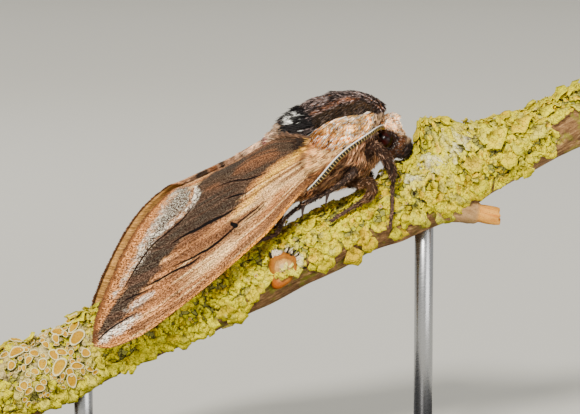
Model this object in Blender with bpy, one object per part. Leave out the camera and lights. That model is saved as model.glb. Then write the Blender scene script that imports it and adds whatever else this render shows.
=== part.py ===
"""A privet hawk moth at rest on a cut length of lichened branch, life size, on a plain display stand.

The moth and its perch are laid out in the moth's own frame, in millimetres: u runs forward along the
body, y to the moth's left and w up its back. One empty tilts that frame head up and lifts it to its
height, and the stand stands level below it.
"""

import math
import random

import bpy
import numpy as np
from mathutils import Matrix

MM = 0.001
GAP = 0.32
SEED = 11

# The whole pose
POSE_TILT = math.radians(24.5)
POSE_HEIGHT = 44.0
RIGHT, LEFT = -1, 1
SIDE_NAME = {RIGHT: "right", LEFT: "left"}

# Forewing: the roof it follows, then its outline as (u, q), q being the way round the roof from its crest
RIDGE = {RIGHT: 10.6, LEFT: 11.05}
ROOF_PROFILE = ((0.35, 0.75), (0.9, 0.25), (1.8, 0.0), (3.1, 0.45), (4.5, 1.9), (5.8, 4.2), (7.1, 7.6),
                (8.5, 11.6), (9.9, 15.4), (11.1, 19.0), (12.2, 22.5))
CREST_POINT = 2
ROOF_SPREAD = 0.95
COSTA = ((9.2, 8.4), (3.3, 10.3), (-4.6, 13.7), (-12.6, 16.2), (-20.4, 18.3), (-28.0, 19.9),
         (-32.0, 20.15), (-35.0, 19.7), (-36.9, 18.5))
TERMEN = ((-36.9, 18.5), (-35.0, 15.2), (-31.6, 11.6), (-27.2, 7.6), (-22.1, 3.8), (-17.2, 1.2), (-14.0, -1.35))
INNER_MARGIN = ((8.8, 4.6), (5.0, 2.2), (0.8, -1.0), (-4.0, -1.35), (-14.0, -1.35))
WING_THICKNESS = 0.52
VEIN_HEIGHT = 0.22
VEIN_HALF_WIDTH = 0.012
FOREWING_VEINS = (0.07, 0.17, 0.29, 0.41, 0.53, 0.66, 0.8)

# Hindwing, folded close under the forewing
HIND_COSTA = ((5.6, 9.0), (0.0, 11.0), (-8.0, 13.0), (-14.0, 13.6), (-17.5, 12.2))
HIND_TERMEN = ((-17.5, 12.2), (-17.6, 9.0), (-16.6, 6.0), (-15.0, 3.4), (-13.4, 1.6))
HIND_INNER = ((3.4, 5.6), (0.6, 3.4), (-4.0, 1.9), (-13.4, 1.6))
HIND_DEPTH = WING_THICKNESS + 0.36
HINDWING_VEINS = (0.2, 0.4, 0.6, 0.8)

# Body: stations of (u, half width, top, bottom, height of the widest line)
THORAX = ((1.35, 3.8, 12.0, 0.5, 4.9), (3.1, 4.4, 12.4, 0.1, 5.1), (5.2, 4.9, 13.2, -0.2, 5.4),
          (7.3, 5.4, 13.95, -0.5, 5.7), (10.0, 5.9, 14.4, -0.6, 6.1), (13.4, 6.0, 14.1, -0.2, 6.4),
          (15.6, 5.6, 13.4, 0.8, 6.6), (16.6, 5.2, 12.9, 2.8, 6.9), (17.4, 4.7, 12.4, 5.0, 7.6),
          (18.7, 3.9, 11.4, 6.1, 8.2), (19.7, 2.9, 10.0, 6.9, 8.3), (20.2, 1.7, 9.1, 7.4, 8.2))
THORAX_NOSE = (20.4, 8.15)
ABDOMEN = ((1.03, 3.7, 8.5, 0.7, 4.6), (-3.0, 4.0, 8.7, 0.5, 4.6), (-9.0, 3.8, 8.4, 0.8, 4.6),
           (-14.0, 2.9, 7.4, 1.8, 4.6), (-18.0, 1.7, 6.2, 3.1, 4.65), (-20.0, 0.8, 5.4, 4.0, 4.7))
ABDOMEN_TIP = (-20.6, 4.7)
ABDOMEN_RINGS = 8
ABDOMEN_CREASE = 0.045
HEAD = ((16.7, 1.5, 5.0, 1.4, 3.3), (17.4, 2.2, 5.9, 0.4, 3.3), (18.4, 2.7, 6.5, -0.1, 3.4),
        (19.5, 2.75, 6.8, 0.0, 3.5), (20.6, 2.4, 6.65, 0.9, 3.7), (21.3, 1.8, 6.2, 1.9, 3.9))
HEAD_NOSE = (21.8, 4.2)
HEAD_BACK = (16.3, 3.2)
EYE_CENTRE = (18.55, 2.45, 3.6)
EYE_RADIUS = 1.35

# Palps, feelers and legs: (u, outward, w, radius) along each, drawn for either side
PALP = ((18.6, 1.05, 0.5, 0.6), (19.7, 1.1, -0.05, 0.8), (20.8, 1.05, 0.45, 0.78), (21.45, 0.95, 1.55, 0.42))
ANTENNA = ((18.6, 1.7, 5.45, 0.5), (18.2, 3.3, 5.95, 0.42), (17.2, 5.1, 6.2, 0.4), (15.7, 6.9, 6.15, 0.46),
           (13.9, 8.0, 6.0, 0.5), (12.0, 8.45, 5.7, 0.52), (10.0, 8.65, 5.15, 0.54), (8.2, 8.7, 4.4, 0.55),
           (6.4, 8.6, 3.55, 0.52), (4.7, 8.5, 2.85, 0.42), (3.5, 8.45, 2.5, 0.28))
ANTENNA_TEETH = 22
TOOTH_DEPTH = 0.24
FORELEG = ((13.6, 3.0, 1.9, 0.9), (14.8, 5.0, 3.6, 1.0), (15.7, 6.2, 3.9, 0.95), (16.5, 6.5, 2.0, 1.0),
           (16.8, 6.5, -0.4, 0.85), (16.2, 6.5, -2.0, 0.5))
FORELEG_FOOT = ((15.4, 62, 0.36), (14.5, 80, 0.34), (13.5, 97, 0.32), (12.8, 110, 0.28))
MIDLEG = ((9.4, 2.4, 0.0, 0.7), (11.2, 4.1, -0.65, 0.8), (12.8, 5.5, -1.2, 0.95), (12.3, 5.9, -2.5, 0.9),
          (10.8, 5.7, -3.2, 0.55))
MIDLEG_FOOT = ((9.2, 55, 0.36), (7.6, 56, 0.34), (5.8, 58, 0.31), (4.8, 60, 0.28))
HINDLEG = ((9.0, 3.4, 1.5, 0.7), (11.2, 5.5, 1.7, 0.72), (9.4, 5.9, 1.0, 0.6), (6.7, 5.6, 0.5, 0.5),
           (4.0, 5.2, 0.35, 0.45), (1.3, 4.9, 0.1, 0.42), (-1.4, 4.6, -0.6, 0.38))
HINDLEG_FOOT = ((-3.8, 37, 0.34), (-5.8, 35, 0.32), (-7.6, 34, 0.3), (-8.8, 33, 0.27))
FAR_STEP = 0.7
FOOT_LIFT = 0.34

# Tegula: a leaf-shaped flap over the wing root, laid on the thorax at (u, degrees above its widest line)
TEGULA_CENTRE = (12.7, 14.0)
TEGULA_LENGTH = 10.4
TEGULA_SPREAD = 15.0
TEGULA_THICKNESS = 0.7

# Hair locks at the back of the thorax, as (u of the root, degrees round from the side, length), either side
LOCKS = ((5.4, 66, 3.0), (5.7, 77, 3.4), (5.9, 86, 3.6), (3.6, 70, 3.1), (3.3, 79, 3.5), (3.1, 87, 3.7))
LOCK_WIDTH, LOCK_THICKNESS = 1.3, 0.75
LOCK_TIP_HEIGHT = 12.25

# Spurs on the hindleg's shin: (root, tip) as (u, outward, w)
SPURS = (((6.4, 5.55, 0.5), (5.0, 5.75, -1.4)), ((2.0, 5.0, 0.2), (0.9, 5.2, -1.7)))
SPUR_RADIUS = 0.3

# Perch: its axis in the moth's frame, and stations of (u, upward, downward, sideways) radius
PERCH_AXIS_HEIGHT = -6.87
PERCH_AXIS_SLOPE = 0.0093
PERCH_BACK, PERCH_FRONT = -56.5, 52.0
PERCH_RADII = ((-56.5, 6.2, 5.9, 6.0), (-42.0, 5.5, 5.9, 5.8), (-30.0, 5.5, 5.4, 5.6), (-20.0, 5.1, 5.9, 5.5),
               (-10.0, 4.9, 5.7, 5.4), (0.0, 4.7, 5.4, 5.3), (9.0, 4.5, 5.5, 5.2), (15.0, 4.8, 5.7, 5.5),
               (20.0, 5.4, 6.0, 5.9), (22.4, 7.5, 6.1, 6.3), (24.6, 10.1, 6.1, 6.7), (27.5, 9.2, 5.6, 6.6),
               (31.0, 7.3, 5.0, 6.2), (35.0, 5.9, 4.5, 5.5), (41.0, 5.0, 4.5, 4.8), (52.0, 4.4, 4.1, 4.3))
BARK_WAVE = 0.2
LICHEN_PLATES = 40
LICHEN_REACH = 127
FOOT_ROOM = 1.6
STUB_ROOT, STUB_TIP = (21.5, -3.0, -9.6), (29.3, -4.2, -14.9)
STUB_RADIUS = 1.75
KNOT_PLACE = (-5.0, 96)
KNOT_RADIUS = 1.85

# Stand
BASE_LENGTH, BASE_DEPTH, BASE_HEIGHT = 94.0, 46.0, 5.0
BASE_CORNER, BASE_BEVEL = 7.0, 0.8
ROD_RADIUS = 1.5
ROD_SINK = 3.0
ROD_PLACES = {"left": -33.0, "right": 21.5}


def clear_scene():
    for obj in list(bpy.data.objects):
        bpy.data.objects.remove(obj, do_unlink=True)


def material(name, colour, roughness, metallic=0.0):
    made = bpy.data.materials.new(name)
    made.use_nodes = True
    shader = made.node_tree.nodes["Principled BSDF"]
    shader.inputs["Base Color"].default_value = (*colour, 1.0)
    shader.inputs["Roughness"].default_value = roughness
    shader.inputs["Metallic"].default_value = metallic
    return made


def through(stations, places):
    """Values at the places on a curve through stations of (place, value, ...), with no overshoot."""
    table = np.array(stations, float)
    if table[0, 0] > table[-1, 0]:
        table = table[::-1]
    knots, values = table[:, 0], table[:, 1:]
    slopes = np.diff(values, axis=0) / np.diff(knots)[:, None]
    tangents = np.zeros_like(values)
    tangents[0], tangents[-1] = slopes[0], slopes[-1]
    product = slopes[:-1] * slopes[1:]
    total = np.where(product > 0, slopes[:-1] + slopes[1:], 1.0)
    tangents[1:-1] = np.where(product > 0, 2 * product / total, 0.0)
    places = np.clip(np.atleast_1d(np.asarray(places, float)), knots[0], knots[-1])
    span = np.clip(np.searchsorted(knots, places) - 1, 0, len(knots) - 2)
    width = (knots[span + 1] - knots[span])[:, None]
    t = (places[:, None] - knots[span][:, None]) / width
    start, end = values[span], values[span + 1]
    rise = (2 * t ** 3 - 3 * t ** 2 + 1) * start + (3 * t ** 2 - 2 * t ** 3) * end
    lean = (t ** 3 - 2 * t ** 2 + t) * tangents[span] + (t ** 3 - t ** 2) * tangents[span + 1]
    return rise + width * lean


def along(points, count):
    """A smooth curve of count points through a list of points, evenly spread by length."""
    table = np.array(points, float)
    steps = np.linalg.norm(np.diff(table[:, :3], axis=0), axis=1)
    knots = np.concatenate([[0.0], np.cumsum(steps)])
    padded = np.vstack([2 * table[0] - table[1], table, 2 * table[-1] - table[-2]])
    tangents = (padded[2:] - padded[:-2]) / 2
    places = np.linspace(0.0, knots[-1], count)
    span = np.clip(np.searchsorted(knots, places) - 1, 0, len(steps) - 1)
    t = ((places - knots[span]) / steps[span])[:, None]
    start, end = table[span], table[span + 1]
    curve = (2 * t ** 3 - 3 * t ** 2 + 1) * start + (3 * t ** 2 - 2 * t ** 3) * end
    return curve + (t ** 3 - 2 * t ** 2 + t) * tangents[span] + (t ** 3 - t ** 2) * tangents[span + 1]


# Each node's shape before anything was cut from it, which cuts its neighbours more cleanly
uncut = {}


def new_object(name, points, faces, look=None, parent=None):
    """A closed mesh object from points in millimetres, turned so that its faces point out."""
    mesh = bpy.data.meshes.new(name)
    mesh.from_pydata([tuple(float(c) * MM for c in point) for point in points], [], faces)
    obj = bpy.data.objects.new(name, mesh)
    bpy.context.scene.collection.objects.link(obj)
    if volume_of(mesh) < 0:
        mesh.flip_normals()
    if look:
        mesh.materials.append(look)
    if parent:
        obj.parent = parent
    uncut[name] = mesh.copy()
    return obj


def volume_of(mesh):
    mesh.calc_loop_triangles()
    points = np.array([vertex.co for vertex in mesh.vertices])
    corners = points[np.array([triangle.vertices for triangle in mesh.loop_triangles])]
    return np.einsum("ij,ij->", corners[:, 0], np.cross(corners[:, 1], corners[:, 2])) / 6


def loft(rings, start=None, end=None):
    """Points and faces of a closed tube through rings, ending in a flat cap or, where given, a tip point."""
    rings = np.asarray(rings, float)
    count, sides = rings.shape[:2]
    points = [tuple(point) for ring in rings for point in ring]
    faces = []
    for i in range(count - 1):
        for j in range(sides):
            k = (j + 1) % sides
            faces.append((i * sides + j, i * sides + k, (i + 1) * sides + k, (i + 1) * sides + j))
    last = (count - 1) * sides
    for ring_start, tip, turned in ((0, start, True), (last, end, False)):
        ring = list(range(ring_start, ring_start + sides))
        if tip is None:
            faces.append(ring[::-1] if turned else ring)
            continue
        points.append(tuple(tip))
        for j in range(sides):
            pair = (ring[(j + 1) % sides], ring[j]) if turned else (ring[j], ring[(j + 1) % sides])
            faces.append((*pair, len(points) - 1))
    return points, faces


def plate(outer, inner):
    """Points and triangles of a thin closed plate between two grids, split alike on both faces."""
    rows, columns = outer.shape[:2]
    size = rows * columns
    points = np.concatenate([outer.reshape(size, 3), inner.reshape(size, 3)])
    faces = []
    for i in range(rows - 1):
        for j in range(columns - 1):
            a, b = i * columns + j, i * columns + j + 1
            c, d = b + columns, a + columns
            for triangle in ((a, b, c), (a, c, d)):
                faces.append(triangle)
                faces.append(tuple(size + corner for corner in triangle[::-1]))
    rim = [j for j in range(columns)]
    rim += [i * columns + columns - 1 for i in range(1, rows)]
    rim += [(rows - 1) * columns + j for j in range(columns - 2, -1, -1)]
    rim += [i * columns for i in range(rows - 2, 0, -1)]
    for a, b in zip(rim, rim[1:] + rim[:1]):
        faces.append((a, size + a, size + b))
        faces.append((a, size + b, b))
    return points, faces


def body_rings(stations, places, sides, swell=None):
    """Oval rings (u, y, w) round the body, wider below or above the widest line as the stations say."""
    half, top, bottom, waist = through(stations, places).T
    scale = np.ones(len(places)) if swell is None else swell
    angles = np.linspace(0, 2 * math.pi, sides, endpoint=False)
    across = np.cos(angles)[None, :] * (half * scale)[:, None]
    reach = np.where(np.sin(angles) > 0, (top - waist)[:, None], (waist - bottom)[:, None])
    up = waist[:, None] + np.sin(angles)[None, :] * reach * scale[:, None]
    forward = np.repeat(np.asarray(places, float)[:, None], sides, axis=1)
    return np.stack([forward, across, up], axis=2)


def limb(points, count, sides, flatten=1.0, teeth=None):
    """A round tapered tube along points of (u, y, w, radius), rounded off at its tip."""
    curve = along(points, count)
    centres, radii = curve[:, :3], curve[:, 3]
    rings = []
    for i, centre in enumerate(centres):
        ahead = centres[min(i + 1, count - 1)] - centres[max(i - 1, 0)]
        ahead = ahead / np.linalg.norm(ahead)
        side = np.cross(ahead, (0.0, 0.0, 1.0))
        side = side / np.linalg.norm(side)
        over = np.cross(side, ahead)
        ring = []
        for j in range(sides):
            angle = 2 * math.pi * (j + 0.5) / sides
            reach = radii[i] + (teeth[i] if teeth is not None and math.sin(angle) < -0.2 else 0.0)
            ring.append(centre + math.cos(angle) * reach * flatten * side + math.sin(angle) * reach * over)
        rings.append(ring)
    ahead = centres[-1] - centres[-2]
    tip = centres[-1] + ahead / np.linalg.norm(ahead) * radii[-1] * 0.7
    return loft(rings, end=tip)


def fatter(obj, gap=GAP):
    """A copy of the uncut object whose surface stands out by the gap, to cut clearances with."""
    mesh = uncut[obj.name].copy()
    normals = [vertex.normal.copy() for vertex in mesh.vertices]
    for vertex, normal in zip(mesh.vertices, normals):
        vertex.co += normal * gap * MM
    copy = bpy.data.objects.new("cutter", mesh)
    bpy.context.scene.collection.objects.link(copy)
    copy.parent = obj.parent
    return copy


def combined(obj, others, operation, solver="EXACT"):
    """Applies one Boolean of the other objects to obj, and removes them."""
    group = bpy.data.collections.new("pieces")
    for other in others:
        bpy.context.scene.collection.objects.unlink(other)
        group.objects.link(other)
    bpy.context.scene.collection.children.link(group)
    boolean = obj.modifiers.new("boolean", "BOOLEAN")
    boolean.operation = operation
    boolean.operand_type = "COLLECTION"
    boolean.collection = group
    boolean.solver = solver
    bpy.context.view_layer.update()
    shape = bpy.data.meshes.new_from_object(obj.evaluated_get(bpy.context.evaluated_depsgraph_get()))
    obj.modifiers.clear()
    obj.data = shape
    for other in others:
        bpy.data.objects.remove(other, do_unlink=True)
    bpy.data.collections.remove(group)
    keep_largest(obj)


def keep_largest(obj):
    """Leaves only the largest closed surface: triangles joined over edges that just two of them share."""
    mesh = obj.data
    mesh.calc_loop_triangles()
    corners = {}
    for triangle in mesh.loop_triangles:
        # Two triangles back to back on the same corners hold nothing, so both are dropped
        if corners.pop(frozenset(triangle.vertices), None) is None:
            corners[frozenset(triangle.vertices)] = tuple(triangle.vertices)
    faces = [face for face in corners.values() if len(set(face)) == 3]
    group = list(range(len(faces)))

    def root(i):
        while group[i] != i:
            group[i] = group[group[i]]
            i = group[i]
        return i

    sharers = {}
    for number, (a, b, c) in enumerate(faces):
        for ends in ((a, b), (b, c), (c, a)):
            sharers.setdefault(frozenset(ends), []).append(number)
    for sharing in sharers.values():
        if len(sharing) == 2:
            low, high = sorted(root(number) for number in sharing)
            group[high] = low
    points = [vertex.co.copy() for vertex in mesh.vertices]
    volumes = {}
    for number, (a, b, c) in enumerate(faces):
        part_volume = points[a].dot(points[b].cross(points[c])) / 6
        volumes[root(number)] = volumes.get(root(number), 0.0) + part_volume
    kept = max(volumes, key=lambda owner: abs(volumes[owner]))
    faces = [face for number, face in enumerate(faces) if root(number) == kept]
    wanted = sorted({i for face in faces for i in face})
    renumbered = {old: new for new, old in enumerate(wanted)}
    fresh = bpy.data.meshes.new(mesh.name)
    fresh.from_pydata([points[i] for i in wanted], [], [[renumbered[i] for i in face] for face in faces])
    for look in mesh.materials:
        fresh.materials.append(look)
    obj.data = fresh


def cut_clear(obj, neighbours, gap=GAP):
    """Cuts obj back from its neighbours by the gap, so that they meet face to face."""
    for neighbour in neighbours:
        combined(obj, [fatter(neighbour, gap)], "DIFFERENCE")


def roof_point(u, q, side, depth=0.0):
    """A point on the roof that the folded wings make, q along it from the crest, depth below its surface."""
    profile = np.array(ROOF_PROFILE)
    lengths = np.concatenate([[0.0], np.cumsum(np.linalg.norm(np.diff(profile, axis=0), axis=1))])
    lengths -= lengths[CREST_POINT]
    table = np.column_stack([lengths, profile])
    step = 0.05
    q = np.asarray(q, float)
    here = through(table, q.ravel())
    ahead = through(table, q.ravel() + step)
    behind = through(table, q.ravel() - step)
    tangent = ahead - behind
    tangent /= np.maximum(np.linalg.norm(tangent, axis=1), 1e-9)[:, None]
    # Down the roof is (out, down), so the way inwards is (-down, out) turned to point under it
    out = here[:, 0] - tangent[:, 1] * depth
    down = here[:, 1] + tangent[:, 0] * depth
    u = np.asarray(u, float).ravel()
    rise = np.clip(u / 8.0, 0.0, 1.0)
    spread = ROOF_SPREAD * rise ** 2 * (3 - 2 * rise)
    lift = 0.085 * np.clip(u + 5.0, 0.0, None)
    return np.column_stack([u, side * (out + spread), RIDGE[side] + lift - down])


def wing_grid(costa, inner, termen, rows, stations, side, depth):
    """A wing's surface as a grid: rows run from its root to its outer edge, between costa and inner margin."""
    s = np.linspace(0.0, 1.0, stations)
    t = np.asarray(rows)
    costa_line = along([(*point, 0.0) for point in costa], stations)[:, :2]
    inner_line = along([(*point, 0.0) for point in inner], stations)[:, :2]
    outer_line = fitted(termen, t)
    root_line = (1 - t)[:, None] * np.array(costa[0]) + t[:, None] * np.array(inner[0])
    sweep = (1 - t)[:, None, None] * costa_line + t[:, None, None] * inner_line
    ends = (1 - s)[None, :, None] * root_line[:, None] + s[None, :, None] * outer_line[:, None]
    corners = (1 - t)[:, None, None] * ((1 - s)[:, None] * costa_line[0] + s[:, None] * costa_line[-1])
    corners = corners + t[:, None, None] * ((1 - s)[:, None] * inner_line[0] + s[:, None] * inner_line[-1])
    flat = sweep + ends - corners
    return roof_point(flat[..., 0], flat[..., 1], side, depth).reshape(len(t), stations, 3)


def fitted(points, places):
    """The points at the given fractions of the length of a smooth curve."""
    fine = along([(*point, 0.0) for point in points], 101)[:, :2]
    return np.column_stack([np.interp(places, np.linspace(0, 1, 101), fine[:, k]) for k in range(2)])


def vein_rows(veins):
    """Rows of a wing grid with three close ones at each vein, and which of them stand up."""
    rows, raised = [0.0], [False]
    for vein in veins:
        rows += [vein - VEIN_HALF_WIDTH, vein, vein + VEIN_HALF_WIDTH]
        raised += [False, True, False]
    rows.append(1.0)
    raised.append(False)
    return rows, raised


def make_wing(name, side, outline, depth, veins, stations, look, parent):
    """A wing as a thin plate on the roof, its veins ridges in its own surface."""
    costa, inner, termen = outline
    rows, raised = vein_rows(veins)
    outer = wing_grid(costa, inner, termen, rows, stations, side, depth)
    under = wing_grid(costa, inner, termen, rows, stations, side, depth + WING_THICKNESS)
    for row, up in enumerate(raised):
        if up:
            fade = np.minimum(1.0, np.linspace(0.0, 6.0, stations)) * np.minimum(1.0, np.linspace(4.0, 0.2, stations))
            ridge = wing_grid(costa, inner, termen, rows, stations, side, depth - VEIN_HEIGHT)[row]
            outer[row] += (ridge - outer[row]) * fade[:, None]
    return new_object(name, *plate(outer, under), look, parent)


def thorax_point(u, degrees, side, lift=0.0):
    """A point on the flank of the thorax, the lift out from it, with degrees above its widest line."""
    def surface(place, angle):
        half, top, _, waist = through(THORAX, [place])[0]
        return np.array([place, side * half * math.cos(angle), waist + (top - waist) * math.sin(angle)])

    angle, step = math.radians(degrees), 0.01
    here = surface(u, angle)
    normal = side * np.cross(surface(u, angle + step) - here, surface(u + step, angle) - here)
    return here + normal * lift / np.linalg.norm(normal)


def make_tegula(side, look, parent):
    """A pale leaf-shaped flap on the flank of the thorax, over the root of the wing."""
    lengthwise = np.linspace(-0.97, 0.97, 11)
    crosswise = np.linspace(-1.0, 1.0, 6)
    outer, inner = [], []
    for t in lengthwise:
        width = TEGULA_SPREAD * math.sqrt(1 - t * t) + 1.0
        u = TEGULA_CENTRE[0] + t * TEGULA_LENGTH / 2
        rise = TEGULA_CENTRE[1] - 5.0 * t
        thick = [TEGULA_THICKNESS * (1 - 0.35 * s * s) for s in crosswise]
        outer.append([thorax_point(u, rise + s * width, side, GAP + th) for s, th in zip(crosswise, thick)])
        inner.append([thorax_point(u, rise + s * width, side, GAP) for s in crosswise])
    return new_object(f"tegula_{SIDE_NAME[side]}", *plate(np.array(outer), np.array(inner)), look, parent)


def lock_shape(root, tip, width, thickness):
    """A flat lock of hair, widest near its sunk root and bent over towards its tip."""
    root, tip = np.array(root), np.array(tip)
    ahead = tip - root
    side = np.cross(ahead, (0.0, 0.0, 1.0))
    side /= np.linalg.norm(side)
    over = np.cross(side, ahead)
    over /= np.linalg.norm(over)
    rings = []
    for t, wide, bend in ((0.0, 0.7, 0.0), (0.35, 1.0, 0.2), (0.7, 0.62, 0.16)):
        centre = root + t * ahead + over * bend
        offsets = (side * width / 2, over * thickness / 2, -side * width / 2, -over * thickness / 2)
        rings.append([centre + wide * offset for offset in offsets])
    return loft(rings, end=tip)


def add_locks(thorax, parent):
    """Fuses the hair locks to the back of the thorax, over the crest of the wings."""
    locks = []
    for u, degrees, length in LOCKS:
        for side in (RIGHT, LEFT):
            root = thorax_point(u, degrees, side, -0.25)
            tip = (u - length, root[1] * 0.9, max(LOCK_TIP_HEIGHT, root[2] - 0.32 * length))
            locks.append(new_object("lock", *lock_shape(root, tip, LOCK_WIDTH, LOCK_THICKNESS), None, parent))
    combined(thorax, locks, "UNION")


def add_spurs(leg, side, step, parent):
    """Fuses the spurs to the shin of a hindleg."""
    spurs = []
    for root, tip in SPURS:
        start, end = (np.array([u + step, side * out, w]) for u, out, w in (root, tip))
        points = [(*start, SPUR_RADIUS), (*(start + end) / 2, SPUR_RADIUS * 0.85), (*end, SPUR_RADIUS * 0.35)]
        spurs.append(new_object("spur", *limb(points, 4, 6), None, parent))
    combined(leg, spurs, "UNION")


def perch_radius(u, degrees):
    """Distance from the perch's axis to its bark, degrees round from the top towards the moth's right."""
    up, down, sideways = through(PERCH_RADII, [u])[0]
    angle = math.radians(degrees)
    rise, out = math.cos(angle), math.sin(angle)
    tall = up if rise > 0 else down
    oval = 1.0 / math.sqrt((rise / tall) ** 2 + (out / sideways) ** 2)
    wave = math.sin(0.55 * u + 2.1 * math.sin(angle)) + 0.7 * math.sin(3 * angle + 0.31 * u)
    return oval + BARK_WAVE * wave * 0.6


def on_perch(u, degrees, lift=0.0):
    """A point on the perch's bark, or the lift above it."""
    reach = perch_radius(u, degrees) + lift
    angle = math.radians(degrees)
    return np.array([u, -reach * math.sin(angle), axis_height(u) + reach * math.cos(angle)])


def axis_height(u):
    return PERCH_AXIS_HEIGHT + PERCH_AXIS_SLOPE * u


def axis_above(x):
    """Height of the perch's axis above the floor at x, in the stand's level frame."""
    run = x / (math.cos(POSE_TILT) - PERCH_AXIS_SLOPE * math.sin(POSE_TILT))
    return POSE_HEIGHT + run * math.sin(POSE_TILT) + axis_height(run) * math.cos(POSE_TILT)


def make_perch(look, parent):
    """The cut length of branch, with the stub of a side twig and a round knot fused to it."""
    places = np.linspace(PERCH_BACK, PERCH_FRONT, 48)
    angles = np.linspace(0, 360, 16, endpoint=False)
    rings = [[on_perch(u, angle) for angle in angles] for u in places]
    perch = new_object("perch_branch", *loft(rings), look, parent)
    root, tip = np.array(STUB_ROOT), np.array(STUB_TIP)
    middle = (root + tip) / 2
    stub = new_object("stub", *cut_rod([(root, STUB_RADIUS * 1.35), (middle, STUB_RADIUS * 1.05),
                                        (tip, STUB_RADIUS * 0.85)], 12), None, parent)
    knot = new_object("knot", *knot_shape(), None, parent)
    lobes = [new_object("lobe", *shape, None, parent) for shape in lichen_shapes()]
    combined(perch, [stub, knot, *lobes], "UNION")
    return perch


def cut_rod(stations, sides):
    """A round rod through (centre, radius) stations, cut square at both ends."""
    ahead = stations[-1][0] - stations[0][0]
    ahead = ahead / np.linalg.norm(ahead)
    side = np.cross(ahead, (0.0, 1.0, 0.0))
    side = side / np.linalg.norm(side)
    over = np.cross(side, ahead)
    angles = np.linspace(0, 2 * math.pi, sides, endpoint=False)
    rings = [[centre + radius * (math.cos(a) * side + math.sin(a) * over) for a in angles]
             for centre, radius in stations]
    return loft(rings)


def knot_shape():
    """A ring of callus round a shallow dish, standing on the flank of the perch."""
    u, degrees = KNOT_PLACE
    centre = on_perch(u, degrees)
    out = on_perch(u, degrees, 1.0) - centre
    across = np.array([1.0, 0.0, 0.0])
    over = np.cross(out, across)
    angles = np.linspace(0, 2 * math.pi, 14, endpoint=False)
    levels = ((1.15, -1.3), (1.1, 0.15), (0.85, 0.5), (0.55, 0.3))
    rings = [[centre + out * lift + KNOT_RADIUS * wide * (math.cos(a) * across + math.sin(a) * over)
              for a in angles] for wide, lift in levels]
    return loft(rings, end=centre + out * 0.22)


def lichen_shapes():
    """Low scalloped plates of lichen over the perch, thickest along its top and near flank."""
    chance = random.Random(SEED)
    shapes = []
    for k in range(LICHEN_PLATES):
        u = PERCH_BACK + 4.0 + (k + chance.uniform(-0.4, 0.4)) * (PERCH_FRONT - PERCH_BACK - 8.0) / LICHEN_PLATES
        degrees = (k * 137.5 + chance.uniform(-20, 20)) % 360 - 180
        radius = chance.uniform(2.0, 3.2)
        if abs(degrees) < LICHEN_REACH and not near_foot(u, degrees, radius):
            shapes.append(lichen_plate(u, degrees, radius, chance))
    return shapes


def near_foot(u, degrees, radius):
    """True where a plate of this radius would come under one of the moth's feet."""
    for foot in (FORELEG_FOOT, MIDLEG_FOOT, HINDLEG_FOOT):
        for foot_u, foot_degrees, _ in foot:
            round_perch = math.radians(abs(degrees) - foot_degrees) * perch_radius(u, degrees)
            if math.hypot(u - foot_u - FAR_STEP / 2, round_perch) < radius + FOOT_ROOM:
                return True
    return False


def lichen_plate(u, degrees, radius, chance):
    """One plate: a domed disc with a scalloped rim, its root sunk in the bark."""
    sides = 8
    turn = chance.uniform(0, 6.28)
    levels = ((0.9, -0.9), (1.0, 0.15), (0.72, 0.5))
    rings = []
    for wide, lift in levels:
        ring = []
        for j in range(sides):
            angle = 2 * math.pi * j / sides
            reach = radius * wide * (1 + 0.13 * math.sin(3 * angle + turn))
            spin = math.degrees(reach * math.sin(angle) / perch_radius(u, degrees))
            ring.append(on_perch(u + reach * math.cos(angle), degrees + spin, lift))
        rings.append(ring)
    return loft(rings, start=on_perch(u, degrees, -1.4), end=on_perch(u, degrees, 0.55))


def make_leg(name, side, thigh, foot, look, parent, step=0.0):
    """A leg from its root in the thorax to its foot on the perch."""
    points = [(u + step, side * out, w, radius) for u, out, w, radius in thigh]
    for u, degrees, radius in foot:
        place = on_perch(u + step, -side * degrees, FOOT_LIFT + radius)
        points.append((*place, radius))
    return new_object(name, *limb(points, 3 * len(points), 7), look, parent)


def make_antenna(side, look, parent):
    """A spindle-shaped feeler with a row of teeth along its underside."""
    points = [(u, side * out, w, radius) for u, out, w, radius in ANTENNA]
    count = 2 * ANTENNA_TEETH + 6
    teeth = [TOOTH_DEPTH * (i % 2) if 5 < i < count - 3 else 0.0 for i in range(count)]
    return new_object(f"antenna_{SIDE_NAME[side]}", *limb(points, count, 6, 0.85, teeth), look, parent)


def make_palp(side, look, parent):
    points = [(u, side * out, w, radius) for u, out, w, radius in PALP]
    return new_object(f"palp_{SIDE_NAME[side]}", *limb(points, 9, 8, 0.85), look, parent)


def ball(name, centre, radius, look, parent, rings=8, sides=12):
    """A round ball from rings about its own up axis."""
    centre = np.array(centre, float)
    heights = np.linspace(-1, 1, rings + 2)[1:-1] * math.pi / 2
    angles = np.linspace(0, 2 * math.pi, sides, endpoint=False)
    stack = [[centre + radius * np.array([math.cos(h) * math.cos(a), math.cos(h) * math.sin(a), math.sin(h)])
              for a in angles] for h in heights]
    poles = centre - (0, 0, radius), centre + (0, 0, radius)
    return new_object(name, *loft(stack, *poles), look, parent)


def make_thorax(look, parent):
    places = np.concatenate([np.linspace(1.35, 16.0, 16), np.linspace(16.6, 20.2, 8)])
    rings = body_rings(THORAX, places, 22)
    nose = (THORAX_NOSE[0], 0.0, THORAX_NOSE[1])
    return new_object("thorax", *loft(rings, end=nose), look, parent)


def make_head(look, parent):
    places = np.linspace(HEAD[0][0], HEAD[-1][0], 11)
    rings = body_rings(HEAD, places, 18)
    back = (HEAD_BACK[0], 0.0, HEAD_BACK[1])
    nose = (HEAD_NOSE[0], 0.0, HEAD_NOSE[1])
    return new_object("head", *loft(rings, start=back, end=nose), look, parent)


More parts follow.
